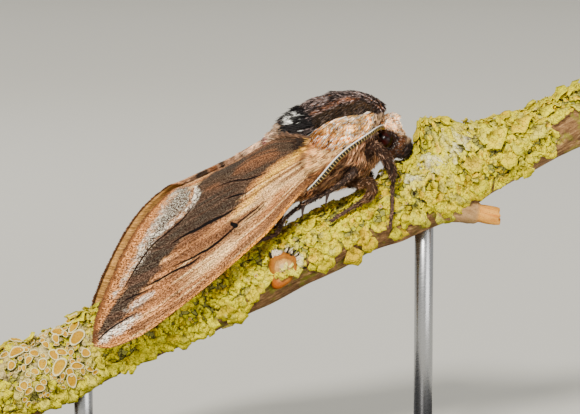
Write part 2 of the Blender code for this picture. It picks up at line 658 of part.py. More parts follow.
def make_abdomen(look, parent):
    """The abdomen, creased between its segments."""
    places, swell = [], []
    length = (ABDOMEN[-1][0] - ABDOMEN[0][0]) / ABDOMEN_RINGS
    for k in range(ABDOMEN_RINGS):
        for part, size in ((0.0, 1 - ABDOMEN_CREASE), (0.25, 1.0), (0.8, 1.0)):
            places.append(ABDOMEN[0][0] + (k + part) * length)
            swell.append(size)
    places.append(ABDOMEN[-1][0])
    swell.append(1.0)
    rings = body_rings(ABDOMEN, places, 16, np.array(swell))
    tip = (ABDOMEN_TIP[0], 0.0, ABDOMEN_TIP[1])
    return new_object("abdomen", *loft(rings, end=tip), look, parent)


def level_rod(name, x, low, high, radius, look):
    """An upright round rod at x, from low to high, in the stand's own level frame."""
    stations = [(np.array([x, 0.0, low]), radius), (np.array([x, 0.0, high]), radius)]
    return new_object(name, *cut_rod(stations, 20), look)


def make_base(look):
    """The flat base, with rounded corners and a socket for each rod."""
    corner_angles = np.linspace(0, math.pi / 2, 6)
    outline = []
    for k, (sx, sy) in enumerate(((1, 1), (-1, 1), (-1, -1), (1, -1))):
        centre = np.array([sx * (BASE_LENGTH / 2 - BASE_CORNER), sy * (BASE_DEPTH / 2 - BASE_CORNER)])
        for angle in corner_angles + k * math.pi / 2:
            outline.append((centre, np.array([math.cos(angle), math.sin(angle)])))
    levels = ((BASE_CORNER - BASE_BEVEL, 0.0), (BASE_CORNER, BASE_BEVEL), (BASE_CORNER, BASE_HEIGHT - BASE_BEVEL),
              (BASE_CORNER - BASE_BEVEL, BASE_HEIGHT))
    rings = [[(*(centre + reach * way), z) for centre, way in outline] for reach, z in levels]
    base = new_object("stand_base", *loft(rings), look)
    sockets = [level_rod("socket", x, BASE_HEIGHT - ROD_SINK - GAP, BASE_HEIGHT + 1.0, ROD_RADIUS + GAP, None)
               for x in ROD_PLACES.values()]
    combined(base, sockets, "DIFFERENCE")
    return base


def main():
    clear_scene()
    scales = material("grey_pink_scales", (0.28, 0.21, 0.18), 0.75)
    pale_fur = material("pale_fur", (0.62, 0.5, 0.44), 0.85)
    dark_fur = material("dark_fur", (0.09, 0.07, 0.065), 0.85)
    banded = material("banded_scales", (0.45, 0.2, 0.22), 0.8)
    eye_look = material("eye", (0.015, 0.012, 0.012), 0.15)
    feeler = material("feeler", (0.6, 0.52, 0.45), 0.6)
    leg_look = material("leg", (0.2, 0.14, 0.11), 0.7)
    bark = material("lichened_bark", (0.5, 0.43, 0.12), 0.9)
    base_look = material("base_paint", (0.03, 0.03, 0.032), 0.45)
    rod_look = material("rod_steel", (0.6, 0.6, 0.6), 0.3, 1.0)

    pose = bpy.data.objects.new("moth_pose", None)
    bpy.context.scene.collection.objects.link(pose)
    pose.matrix_world = Matrix.Translation((0, 0, POSE_HEIGHT * MM)) @ Matrix.Rotation(-POSE_TILT, 4, "Y")
    bpy.context.view_layer.update()

    thorax = make_thorax(dark_fur, pose)
    head = make_head(pale_fur, pose)
    make_abdomen(banded, pose)
    cut_clear(head, [thorax])
    eyes = {side: ball(f"eye_{SIDE_NAME[side]}", (EYE_CENTRE[0], side * EYE_CENTRE[1], EYE_CENTRE[2]),
                       EYE_RADIUS, eye_look, pose) for side in (RIGHT, LEFT)}
    cut_clear(head, eyes.values())
    perch = make_perch(bark, pose)

    for side in (RIGHT, LEFT):
        word = SIDE_NAME[side]
        step = 0.0 if side == RIGHT else FAR_STEP
        tegula = make_tegula(side, pale_fur, pose)
        palp = make_palp(side, dark_fur, pose)
        cut_clear(palp, [head])
        antenna = make_antenna(side, feeler, pose)
        cut_clear(antenna, [head, thorax, eyes[side]])
        forewing = make_wing(f"forewing_{word}", side, (COSTA, INNER_MARGIN, TERMEN), 0.0, FOREWING_VEINS, 18,
                             scales, pose)
        cut_clear(forewing, [thorax, tegula])
        hindwing = make_wing(f"hindwing_{word}", side, (HIND_COSTA, HIND_INNER, HIND_TERMEN), HIND_DEPTH,
                             HINDWING_VEINS, 11, banded, pose)
        cut_clear(hindwing, [thorax])
        legs = []
        for name, thigh, foot in (("leg_fore", FORELEG, FORELEG_FOOT), ("leg_hind", HINDLEG, HINDLEG_FOOT),
                                  ("leg_mid", MIDLEG, MIDLEG_FOOT)):
            leg = make_leg(f"{name}_{word}", side, thigh, foot, leg_look, pose, step)
            cut_clear(leg, [thorax, *legs])
            if name == "leg_hind":
                add_spurs(leg, side, step, pose)
            legs.append(leg)

    add_locks(thorax, pose)

    make_base(base_look)
    for word, x in ROD_PLACES.items():
        rod = level_rod(f"stand_rod_{word}", x, BASE_HEIGHT - ROD_SINK, axis_above(x), ROD_RADIUS, rod_look)
        cut_clear(rod, [perch])


main()
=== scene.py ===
# A privet hawk moth at rest on a lichened branch, on its stand: the looks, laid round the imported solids
import math

import bpy
import numpy as np
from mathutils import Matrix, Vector


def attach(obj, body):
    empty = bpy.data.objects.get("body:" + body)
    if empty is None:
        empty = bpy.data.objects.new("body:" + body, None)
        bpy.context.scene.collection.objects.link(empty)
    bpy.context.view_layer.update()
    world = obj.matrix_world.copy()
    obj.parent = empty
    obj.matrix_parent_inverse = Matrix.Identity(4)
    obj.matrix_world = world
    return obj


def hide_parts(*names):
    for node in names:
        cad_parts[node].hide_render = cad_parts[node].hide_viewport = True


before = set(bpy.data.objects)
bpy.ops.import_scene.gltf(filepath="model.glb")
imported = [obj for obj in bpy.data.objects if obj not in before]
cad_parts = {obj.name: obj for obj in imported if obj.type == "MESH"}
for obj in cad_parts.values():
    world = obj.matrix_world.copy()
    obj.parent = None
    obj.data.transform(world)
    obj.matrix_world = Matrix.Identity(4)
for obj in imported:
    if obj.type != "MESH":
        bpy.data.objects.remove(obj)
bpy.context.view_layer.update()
print("frame loaded:", len(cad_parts), "solids")

# Lengths are millimetres in the moth's own frame: u forward, y to its left, w up its back
moth = {
    "tilt": math.radians(24.5),   # head up
    "height": 44.0,               # of the frame's origin above the floor
    "mm": 0.001,
    "farStep": 0.7,               # the left legs stand this much further forward
}
sides = {-1: "right", 1: "left"}  # the right side faces the camera


# Small tools for shapes

def smoothStep(low, high, value):
    # 0 below low, 1 above high, and an S-shaped ramp between
    t = np.clip((value - low) / (high - low), 0.0, 1.0)
    return t * t * (3 - 2 * t)


def toRow(points):
    # the moth's frame turned head up, lifted and put into metres
    u, y, w = np.moveaxis(np.asarray(points, float), -1, 0)
    c, s = math.cos(moth["tilt"]), math.sin(moth["tilt"])
    return np.stack([u * c - w * s, y, moth["height"] + u * s + w * c], -1) * moth["mm"]


def fromRow(points):
    # the way back: metres in the row's frame to millimetres in the moth's
    x, y, z = np.moveaxis(np.asarray(points, float) / moth["mm"], -1, 0)
    c, s = math.cos(moth["tilt"]), math.sin(moth["tilt"])
    z = z - moth["height"]
    return np.stack([x * c + z * s, y, z * c - x * s], -1)


def valuesAlong(stations, places):
    # a smooth curve through stations of (place, value, ...) that never overshoots them
    table = np.array(stations, float)
    if table[0, 0] > table[-1, 0]:
        table = table[::-1]
    knots, values = table[:, 0], table[:, 1:]
    slopes = np.diff(values, axis=0) / np.diff(knots)[:, None]
    tangents = np.zeros_like(values)
    tangents[0], tangents[-1] = slopes[0], slopes[-1]
    product = slopes[:-1] * slopes[1:]
    total = np.where(product > 0, slopes[:-1] + slopes[1:], 1.0)
    tangents[1:-1] = np.where(product > 0, 2 * product / total, 0.0)
    places = np.clip(np.atleast_1d(np.asarray(places, float)), knots[0], knots[-1])
    span = np.clip(np.searchsorted(knots, places) - 1, 0, len(knots) - 2)
    width = (knots[span + 1] - knots[span])[:, None]
    t = (places[:, None] - knots[span][:, None]) / width
    rise = (2 * t ** 3 - 3 * t ** 2 + 1) * values[span] + (3 * t ** 2 - 2 * t ** 3) * values[span + 1]
    return rise + width * ((t ** 3 - 2 * t ** 2 + t) * tangents[span]
                           + (t ** 3 - t ** 2) * tangents[span + 1])


def curveThrough(points, count, measured=3):
    # a smooth curve through the points, count places evenly spread by the length of its first columns
    table = np.array(points, float)
    steps = np.linalg.norm(np.diff(table[:, :measured], axis=0), axis=1)
    knots = np.concatenate([[0.0], np.cumsum(steps)])
    padded = np.vstack([2 * table[0] - table[1], table, 2 * table[-1] - table[-2]])
    tangents = (padded[2:] - padded[:-2]) / 2
    places = np.linspace(0.0, knots[-1], count)
    span = np.clip(np.searchsorted(knots, places) - 1, 0, len(steps) - 1)
    t = ((places - knots[span]) / steps[span])[:, None]
    rise = (2 * t ** 3 - 3 * t ** 2 + 1) * table[span] + (3 * t ** 2 - 2 * t ** 3) * table[span + 1]
    return rise + (t ** 3 - 2 * t ** 2 + t) * tangents[span] + (t ** 3 - t ** 2) * tangents[span + 1]


def runLengths(points):
    # the length run along a line of points up to each of them
    return np.concatenate([[0.0], np.cumsum(np.linalg.norm(np.diff(points, axis=0), axis=1))])


def unit(vectors):
    # the same directions, each one long
    return vectors / np.maximum(np.linalg.norm(vectors, axis=-1, keepdims=True), 1e-9)


def turns(count):
    # even angles once round
    return np.linspace(0, 2 * math.pi, count, endpoint=False)


def latticeNoise(points, cell, seed):
    # a random number at each corner of a lattice, blended smoothly between the corners, from -1 to 1
    place = np.asarray(points, float) / cell
    corner = np.floor(place).astype(np.int64)
    t = place - corner
    t = t * t * (3 - 2 * t)
    total = np.zeros(place.shape[:-1])
    for dx in (0, 1):
        for dy in (0, 1):
            for dz in (0, 1):
                i, j, k = np.moveaxis(corner + (dx, dy, dz), -1, 0)
                mixed = (i * 73856093) ^ (j * 19349663) ^ (k * 83492791) ^ (seed * 2654435761)
                mixed = ((mixed ^ (mixed >> 13)) * 1274126177) & 0x7FFFFFFF
                mixed = (mixed ^ (mixed >> 15)) & 0xFFFF
                share = np.where(np.array((dx, dy, dz)) == 1, t, 1 - t).prod(axis=-1)
                total += share * (mixed / 32767.5 - 1)
    return total


def layeredNoise(points, cell, layers, seed):
    # layers of that noise, each half as wide and half as strong as the last
    total, strength = 0.0, 1.0
    for layer in range(layers):
        total = total + strength * latticeNoise(points, cell / 2 ** layer, seed + layer)
        strength /= 2
    return total


def nearestOnLine(places, line):
    # the distance from each place to a line of points, and the share of its length where it is nearest
    best, share = np.full(len(places), 1e9), np.zeros(len(places))
    for i in range(len(line) - 1):
        start, step = line[i], line[i + 1] - line[i]
        t = np.clip((places - start) @ step / max(step @ step, 1e-12), 0.0, 1.0)
        distance = np.linalg.norm(places - start - t[:, None] * step, axis=1)
        closer = distance < best
        best[closer] = distance[closer]
        share[closer] = (i + t[closer]) / (len(line) - 1)
    return best, share


def insideStroke(places, points):
    # how far inside the edge of a brushed line of (u, q, half width) each place lies, negative off it
    line = curveThrough(points, 10 * len(points), 2)
    distance, share = nearestOnLine(places, line[:, :2])
    return np.interp(share, np.linspace(0, 1, len(line)), line[:, 2]) - distance


def stroke(places, points, soft):
    # 1 on the line and 0 off it, easing over soft either side of its edge
    return smoothStep(-soft, soft, insideStroke(places, points))


def field(places, outline, soft):
    # 1 inside a closed outline and 0 outside, easing over soft either side of its edge
    loop = np.array(list(outline) + [outline[0]], float)
    distance, _ = nearestOnLine(places, loop)
    x, y = places.T
    inside = np.zeros(len(places), bool)
    for (ax, ay), (bx, by) in zip(loop[:-1], loop[1:]):
        crosses = (ay > y) != (by > y)
        inside ^= crosses & (x < (bx - ax) * (y - ay) / (by - ay + 1e-12) + ax)
    return smoothStep(-soft, soft, np.where(inside, distance, -distance))


# Small tools for meshes

def gridFaces(rows, columns, closed=False):
    # the quads between neighbouring rows and columns, the last column joined to the first if closed
    i, j = np.meshgrid(np.arange(rows - 1), np.arange(columns if closed else columns - 1), indexing="ij")
    k = (j + 1) % columns
    return np.stack([i * columns + j, i * columns + k, (i + 1) * columns + k, (i + 1) * columns + j],
                    -1).reshape(-1, 4)


def plateFaces(rows, columns):
    # two grids back to back, the second turned over, and a strip round their rims
    size = rows * columns
    face = gridFaces(rows, columns)
    rim = np.concatenate([np.arange(columns), np.arange(1, rows) * columns + columns - 1,
                          (rows - 1) * columns + np.arange(columns - 2, -1, -1),
                          np.arange(rows - 2, 0, -1) * columns])
    following = np.roll(rim, -1)
    strip = np.stack([rim, size + rim, size + following, following], 1)
    return np.concatenate([face, size + face[:, ::-1], strip])


def tubeFaces(rings, around, first=None, last=None):
    # a closed tube through rings, with each end fanned to the point of that number
    faces = [gridFaces(rings, around, closed=True)]
    j = np.arange(around)
    k = (j + 1) % around
    if first is not None:
        faces.append(np.stack([k, j, np.full(around, first)], 1))
    if last is not None:
        start = (rings - 1) * around
        faces.append(np.stack([start + j, start + k, np.full(around, last)], 1))
    return faces


def repeated(faces, each, count):
    # the same faces for count copies of a shape with each points
    return (faces[None] + (np.arange(count) * each)[:, None, None]).reshape(-1, faces.shape[1])


def signedVolume(points, faceSets):
    total = 0.0
    for faces in faceSets:
        for k in range(1, faces.shape[1] - 1):
            a, b, c = points[faces[:, 0]], points[faces[:, k]], points[faces[:, k + 1]]
            total += np.einsum("ij,ij->", a, np.cross(b, c)) / 6
    return total


def makePiece(name, points, faceSets, look, paints=None, maps=None, level=False):
    # a mesh from arrays, facing out, with values painted on its points and its maps laid over them
    points = np.asarray(points, float)
    faceSets = [faceSets] if isinstance(faceSets, np.ndarray) else list(faceSets)
    placed = points * moth["mm"] if level else toRow(points)
    if signedVolume(placed - placed.mean(0), faceSets) < 0:
        faceSets = [faces[:, ::-1] for faces in faceSets]
    corners = np.concatenate([faces.ravel() for faces in faceSets]).astype(np.int32)
    sizes = np.concatenate([np.full(len(faces), faces.shape[1]) for faces in faceSets])
    mesh = bpy.data.meshes.new(name)
    mesh.vertices.add(len(placed))
    mesh.vertices.foreach_set("co", placed.astype(np.float32).ravel())
    mesh.loops.add(len(corners))
    mesh.loops.foreach_set("vertex_index", corners)
    mesh.polygons.add(len(sizes))
    starts = np.concatenate([[0], np.cumsum(sizes)[:-1]]).astype(np.int32)
    mesh.polygons.foreach_set("loop_start", starts)
    mesh.polygons.foreach_set("loop_total", sizes.astype(np.int32))
    mesh.update(calc_edges=True)
    mesh.shade_smooth()
    for title, values in (paints or {}).items():
        paint(mesh, title, values)
    for title, values in (maps or {}).items():
        layer = mesh.uv_layers.new(name=title)
        layer.data.foreach_set("uv", np.asarray(values, np.float32)[corners].ravel())
    mesh.materials.append(look)
    obj = bpy.data.objects.new(name, mesh)
    bpy.context.scene.collection.objects.link(obj)
    return obj


def paint(mesh, title, values):
    # a number or a colour for each point
    values = np.asarray(values, np.float32)
    if values.ndim == 1:
        mesh.attributes.new(title, "FLOAT", "POINT").data.foreach_set("value", values)
        return
    full = np.ones((len(values), 4), np.float32)
    full[:, :3] = values
    mesh.attributes.new(title, "FLOAT_COLOR", "POINT").data.foreach_set("color", full.ravel())


def settle(obj, slot, *replaced):
    # the piece rides on the object's one body and stands for the solids it covers
    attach(obj, "root")
    if replaced:
        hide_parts(*replaced)
    return obj


# Small tools for finishes

def tone(red, green, blue, stronger=1.35):
    # a screen colour, 0 to 255, as the light it stands for, and stronger, as the picture's curve
    # greys bright ones
    value = np.array([red, green, blue], float) / 255
    light = np.where(value <= 0.04045, value / 12.92, ((value + 0.055) / 1.055) ** 2.4)
    grey = light @ (0.3, 0.6, 0.1)
    return np.clip(grey + stronger * (light - grey), 0.001, 0.95)


def blendTones(base, layers):
    # colours laid over a base, each as far as its own cover says
    made = np.array(base, float)
    for cover, shade in layers:
        made = made + np.clip(cover, 0, 1)[:, None] * (np.asarray(shade) - made)
    return made


class Look:
    # a finish being built: a Principled shader and the nodes that feed it
    def __init__(self, name, roughness, metallic=0.0, specular=0.35):
        self.material = bpy.data.materials.new(name)
        self.material.use_nodes = True
        self.tree = self.material.node_tree
        self.shader = self.tree.nodes["Principled BSDF"]
        self.shader.inputs["Roughness"].default_value = roughness
        self.shader.inputs["Metallic"].default_value = metallic
        self.shader.inputs["Specular IOR Level"].default_value = specular

    def add(self, kind, inputs=None, **settings):
        made = self.tree.nodes.new(kind)
        for key, value in settings.items():
            setattr(made, key, value)
        for key, value in (inputs or {}).items():
            self.feed(made.inputs[key], value)
        return made

    def feed(self, socket, value):
        if isinstance(value, bpy.types.NodeSocket):
            self.tree.links.new(value, socket)
        else:
            socket.default_value = (*value, 1.0) if isinstance(value, np.ndarray) else value

    def millimetres(self, stretch=(1.0, 1.0, 1.0)):
        # places in the moth's own frame, in millimetres
        place = self.add("ShaderNodeTexCoord").outputs["Object"]
        turned = self.add("ShaderNodeMapping", {"Vector": place, "Scale": (1000.0,) * 3,
                                                "Rotation": (0.0, moth["tilt"], 0.0)})
        return self.add("ShaderNodeMapping", {"Vector": turned.outputs[0], "Scale": stretch}).outputs[0]

    def flow(self, title, stretch):
        # places along a piece's own map, stretched
        place = self.add("ShaderNodeUVMap", uv_map=title).outputs[0]
        return self.add("ShaderNodeMapping", {"Vector": place, "Scale": stretch}).outputs[0]

    def noise(self, place, scale, detail=3.0, roughness=0.6):
        made = self.add("ShaderNodeTexNoise", {"Vector": place, "Scale": scale, "Detail": detail,
                                               "Roughness": roughness})
        return made.outputs["Fac"]

    def painted(self, title, part="Color"):
        return self.add("ShaderNodeAttribute", attribute_name=title).outputs[part]

    def ramp(self, value, low, high, start=0.0, end=1.0):
        made = self.add("ShaderNodeMapRange", {"Value": value, "From Min": low, "From Max": high,
                                               "To Min": start, "To Max": end})
        return made.outputs["Result"]

    def times(self, a, b, operation="MULTIPLY"):
        made = self.add("ShaderNodeMath", operation=operation)
        self.feed(made.inputs[0], a)
        self.feed(made.inputs[1], b)
        return made.outputs[0]

    def mixed(self, amount, first, second, how="MIX"):
        made = self.add("ShaderNodeMix", data_type="RGBA", blend_type=how)
        self.feed(made.inputs[0], amount)
        self.feed(made.inputs[6], first)
        self.feed(made.inputs[7], second)
        return made.outputs[2]

    def bump(self, height, strength, distance, normal=None):
        inputs = {"Height": height, "Strength": strength, "Distance": distance}
        if normal is not None:
            inputs["Normal"] = normal
        return self.add("ShaderNodeBump", inputs).outputs["Normal"]

    def finish(self, base=None, normal=None, roughness=None):
        for socket, value in (("Base Color", base), ("Normal", normal), ("Roughness", roughness)):
            if value is not None:
                self.feed(self.shader.inputs[socket], value)
        return self.material


# Camera, floor and lights

view = {
    "azimuth": math.radians(-5.0),
    "elevation": math.radians(7.0),
    "distance": 0.380,
    "target": (0.0, 0.0, 0.044),
    "frameWidth": 580 / 6.3 * 0.001,   # what the photo's width spans at the target
    "sensor": 36.0,
    "floorTone": (206, 205, 200),
    "floorSize": 12.0,
    "clip": (0.01, 50.0),
    # name: (kind, place, width in metres or spread in degrees, power, colour), every light aimed
    # at the target
    "lights": {
        "key": ("SUN", (-0.22, -0.56, 0.45), 10.0, 4.3, (1.0, 0.95, 0.87)),
        "fill": ("DISK", (0.45, -0.5, 0.1), 0.5, 2.5, (1.0, 0.97, 0.92)),
        "back": ("DISK", (-0.3, 0.5, 0.5), 0.4, 1.2, (1.0, 0.98, 0.95)),
    },
    "sky": 0.95,
}


def makeStage():
    azimuth, elevation = view["azimuth"], view["elevation"]
    back = Vector((math.sin(azimuth) * math.cos(elevation), -math.cos(azimuth) * math.cos(elevation),
                   math.sin(elevation)))
    camera = bpy.data.objects.new("camera", bpy.data.cameras.new("camera"))
    camera.data.sensor_width = view["sensor"]
    camera.data.lens = view["sensor"] * view["distance"] / view["frameWidth"]
    camera.data.clip_start, camera.data.clip_end = view["clip"]
    camera.location = Vector(view["target"]) + back * view["distance"]
    camera.rotation_euler = back.to_track_quat("Z", "Y").to_euler()
    bpy.context.scene.collection.objects.link(camera)
    bpy.context.scene.camera = camera

    for name, (kind, place, width, power, tint) in view["lights"].items():
        if kind == "SUN":
            lamp = bpy.data.lights.new(name, "SUN")
            lamp.angle = math.radians(width)
        else:
            lamp = bpy.data.lights.new(name, "AREA")
            lamp.shape, lamp.size = kind, width
        lamp.energy, lamp.color = power, tint
        obj = bpy.data.objects.new(name, lamp)
        obj.location = place
        obj.rotation_euler = (Vector(place) - Vector(view["target"])).to_track_quat("Z", "Y").to_euler()
        bpy.context.scene.collection.objects.link(obj)
    sky = bpy.data.worlds.new("studio")
    sky.use_nodes = True
    sky.node_tree.nodes["Background"].inputs["Color"].default_value = (*tone(*view["floorTone"]), 1.0)
    sky.node_tree.nodes["Background"].inputs["Strength"].default_value = view["sky"]
    bpy.context.scene.world = sky

    look = Look("floor", 0.8, specular=0.1)
    look.finish(tone(*view["floorTone"]))
    half = view["floorSize"] / 2 / moth["mm"]
    points = [(-half, -half, 0), (half, -half, 0), (half, half, 0), (-half, half, 0),
              (-half, -half, -5), (half, -half, -5), (half, half, -5), (-half, half, -5)]
    faces = np.array([(0, 1, 2, 3), (7, 6, 5, 4), (0, 4, 5, 1), (1, 5, 6, 2), (2, 6, 7, 3), (3, 7, 4, 0)])
    makePiece("floor", points, faces, look.material, level=True)


makeStage()
print("camera, lights and floor ready")


# Wings: a thin membrane with raised veins, laid over the roof that the folded wings make

roof = {
    "ridge": {-1: 10.6, 1: 11.05},     # height of each wing's crest
    "profile": ((0.35, 0.75), (0.9, 0.25), (1.8, 0.0), (3.1, 0.45), (4.5, 1.9), (5.8, 4.2), (7.1, 7.6),
                (8.5, 11.6), (9.9, 15.4), (11.1, 19.0), (12.2, 22.5)),   # (outward, down)
    "crestPoint": 2,
    "spread": 0.95,                    # how much wider the roof is at the thorax
    "lift": 0.085,                     # rise of the crest forward of u -5
    "wingLength": 48.0,                # turns shares of a wing's length into millimetres
}
forewing = {
    "costa": ((11.6, 8.7), (9.0, 9.5), (6.4, 10.1), (3.3, 10.65), (-4.6, 13.7), (-12.6, 16.2), (-20.4, 18.3),
              (-28.0, 19.9),
              (-32.0, 20.15), (-35.0, 19.7), (-36.9, 18.5)),             # (u, q), q round the roof
    "termen": ((-36.9, 18.5), (-35.0, 15.2), (-31.6, 11.6), (-27.2, 7.6), (-22.1, 3.8), (-17.2, 1.2),
               (-14.0, -1.35)),
    "inner": ((8.8, 4.6), (5.0, 2.2), (0.8, -1.0), (-4.0, -1.35), (-14.0, -1.35)),
    "grid": (136, 300),                # rows across, stations along
    "thickness": 0.3, "edge": 0.1, "depth": 0.0,
    # how far the root dips under the flap over it, and between which u
    "rootDepth": 1.1, "rootEase": (4.5, 10.5),
    "veinHeight": 0.15, "veinWidth": 0.2, "foldDepth": 0.12,
    # each vein: (share across at the root, share across at the outer edge, where it leaves the cell)
    "veins": ((0.03, 0.07, 0.2), (0.17, 0.17, 0.3), (0.19, 0.29, 0.42), (0.26, 0.41, 0.46),
              (0.45, 0.53, 0.46),
              (0.48, 0.66, 0.4), (0.55, 0.8, 0.3)),
}
hindwing = {
    "costa": ((5.6, 9.0), (0.0, 11.0), (-8.0, 13.0), (-14.0, 13.6), (-17.5, 12.2)),
    "termen": ((-17.5, 12.2), (-17.6, 9.0), (-16.6, 6.0), (-15.0, 3.4), (-13.4, 1.6)),
    "inner": ((3.4, 5.6), (0.6, 3.4), (-4.0, 1.9), (-13.4, 1.6)),
    "grid": (70, 130),
    "thickness": 0.26, "edge": 0.1, "depth": 0.92,
    "rootDepth": 0.6, "rootEase": (1.0, 5.0),
    "veinHeight": 0.12, "veinWidth": 0.22, "foldDepth": 0.1,
    "veins": ((0.05, 0.2, 0.3), (0.3, 0.4, 0.4), (0.4, 0.6, 0.4), (0.6, 0.8, 0.3)),
}
# The forewing's markings, as lines of (u, q, half width) and outlines of (u, q)
marks = {
    "darkField": ((8.7, 3.9), (7.7, 1.7), (6.0, 0.4), (3.9, 0.1), (0.0, 0.3), (-4.5, 0.3), (-8.8, 0.4),
                  (-11.0, 1.1),
                  (-12.4, 2.0), (-13.0, 3.2), (-13.9, 4.6), (-16.0, 6.0), (-18.0, 6.5), (-20.3, 7.3),
                  (-22.2, 8.2),
                  (-23.9, 9.0), (-25.5, 10.1), (-26.9, 11.0), (-28.4, 12.0), (-29.7, 12.9), (-31.9, 14.0),
                  (-33.7, 15.2), (-35.2, 16.4), (-36.3, 17.6), (-34.9, 17.4), (-32.8, 16.8), (-30.9, 16.4),
                  (-30.0, 15.7), (-29.0, 14.9), (-27.8, 14.4), (-26.2, 13.7), (-25.0, 13.1), (-23.8, 12.5),
                  (-22.4, 11.6), (-20.8, 10.5), (-19.0, 9.6), (-17.3, 9.0), (-14.1, 8.8), (-11.0, 8.7),
                  (-8.8, 8.5),
                  (-7.0, 7.5), (-4.9, 6.0), (-2.8, 5.3), (-0.5, 4.9), (1.7, 4.6), (4.1, 4.7), (7.0, 4.9)),
    "whiteBand": ((-14.6, 0.9, 0.1), (-16.3, 1.5, 0.3), (-17.9, 3.1, 0.42), (-19.6, 4.5, 0.42),
                  (-21.4, 5.6, 0.42),
                  (-23.8, 7.5, 0.42), (-26.5, 9.6, 0.46), (-28.8, 11.2, 0.42), (-30.6, 12.8, 0.2)),
    "paleLine": ((-13.9, 4.8, 0.3), (-15.2, 5.3, 0.22), (-16.7, 5.8, 0.2), (-18.5, 6.3, 0.2),
                 (-20.5, 6.6, 0.22),
                 (-22.4, 6.4, 0.15)),
    "crescent": ((-12.6, 2.2, 0.3), (-12.4, 3.0, 0.65), (-12.8, 4.0, 0.45), (-13.8, 4.8, 0.25)),
    "speckles": ((-14.6, 1.2, 0.8), (-15.2, 3.3, 1.4), (-17.4, 4.4, 1.1), (-20.0, 6.0, 0.8),
                 (-23.0, 8.0, 0.5), (-26.0, 10.2, 0.35)),
    "fleck": ((-9.5, 10.2, 0.3), (-9.1, 10.7, 0.38)),
    "rust": (((7.0, 1.2, 0.5), (3.7, 0.5, 0.45), (-0.3, 0.5, 0.4), (-2.8, 0.6, 0.35)),
             ((1.3, 3.0, 0.9), (-2.4, 2.6, 1.0), (-5.1, 2.6, 0.6)),
             ((-8.8, 3.4, 0.4), (-10.9, 3.3, 0.35))),
    "cream": ((9.4, 3.4, 0.3), (6.0, 4.9, 0.7), (3.3, 5.4, 0.8), (-0.1, 5.9, 0.8), (-3.2, 6.8, 0.7),
              (-6.0, 8.2, 0.6),
              (-8.6, 9.4, 0.4)),
    "pale": ((10.4, 7.2, 0.9), (6.0, 7.6, 1.3), (2.2, 7.9, 1.1), (-2.0, 8.2, 0.9), (-4.6, 9.6, 0.9),
             (-7.6, 10.9, 0.8),
             (-9.9, 12.1, 0.8), (-13.5, 13.7, 0.9), (-17.0, 14.5, 0.8), (-21.1, 14.9, 0.4)),
    "apexPale": ((-28.6, 17.2, 0.3), (-30.6, 17.5, 0.7), (-32.6, 17.7, 0.75), (-34.6, 18.0, 0.5),
                 (-36.3, 18.5, 0.2)),
    "patchPale": ((-25.7, 14.9, 0.35), (-28.4, 15.4, 0.45), (-30.0, 15.7, 0.3)),
    # millimetres from the front edge, and the share of the wing it reaches to
    "costaRidge": (0.5, 0.62),
    "costaShade": ((4.0, 9.6, 0.5), (-1.0, 11.2, 0.8), (-8.0, 14.0, 0.5), (-20.0, 17.4, 0.5),
                   (-31.0, 19.4, 0.6)),
    "streaks": (((-5.4, 6.7, 0.06), (-7.2, 6.3, 0.17), (-9.1, 6.1, 0.05)),
                ((-7.6, 8.2, 0.06), (-10.3, 8.4, 0.2), (-12.1, 8.4, 0.27), (-14.6, 8.6, 0.25),
                 (-17.0, 8.7, 0.18),
                 (-19.3, 8.9, 0.06)),
                ((-3.6, 9.4, 0.05), (-5.9, 9.8, 0.1), (-8.6, 10.4, 0.1)),
                ((-3.9, 9.8, 0.05), (-5.6, 10.2, 0.09), (-7.6, 10.6, 0.06)),
                ((-9.4, 10.9, 0.12), (-11.7, 11.6, 0.15), (-13.8, 12.1, 0.2), (-15.7, 12.3, 0.18),
                 (-18.9, 12.4, 0.12), (-22.8, 12.3, 0.06)),
                ((-16.2, 12.8, 0.06), (-18.2, 13.1, 0.17), (-20.2, 13.1, 0.17), (-22.4, 13.2, 0.17),
                 (-24.3, 13.4, 0.16), (-26.1, 13.4, 0.06)),
                ((-24.4, 14.1, 0.05), (-26.4, 14.0, 0.12), (-28.5, 14.0, 0.13), (-30.2, 14.1, 0.06)),
                ((-1.3, 5.4, 0.05), (-4.0, 4.9, 0.14), (-6.7, 3.9, 0.13), (-9.2, 3.6, 0.05)),
                ((-28.6, 16.5, 0.05), (-30.4, 16.7, 0.13), (-33.5, 17.1, 0.15), (-36.5, 18.1, 0.08)),
                ((-13.9, 5.0, 0.05), (-16.5, 6.3, 0.12), (-19.5, 7.2, 0.12), (-22.5, 8.1, 0.1),
                 (-26.0, 10.2, 0.1),
                 (-29.0, 12.3, 0.05))),
    "streakWidth": 0.85,
    "ridge": ((-10.1, 1.1, "darkest"), (-8.1, 0.7, "rust"), (-6.4, 0.45, "darkest"), (-3.0, 0.3, "brown")),
    "tones": {
        "ground": tone(180, 130, 96), "margin": tone(180, 128, 92), "dark": tone(46, 33, 25),
        "darkest": tone(24, 18, 15), "white": tone(250, 240, 226), "rust": tone(124, 84, 62),
        "cream": tone(248, 196, 126), "pale": tone(250, 212, 170), "light": tone(230, 178, 136),
        "brown": tone(100, 67, 48), "umber": tone(84, 58, 46),
        "tan": tone(214, 152, 96), "shade": tone(120, 81, 59), "ridge": tone(200, 154, 122),
        "under": tone(210, 168, 122), "underMottle": tone(112, 78, 50), "underVein": tone(92, 62, 42),
        "underEdge": tone(62, 42, 32),
        "scaleLit": tone(255, 234, 210), "scaleDark": tone(20, 11, 8), "scaleShade": tone(40, 26, 20),
        "scaleLine": tone(48, 28, 20), "scaleWhite": tone(255, 246, 232), "streak": tone(7, 5, 5),
    },
}


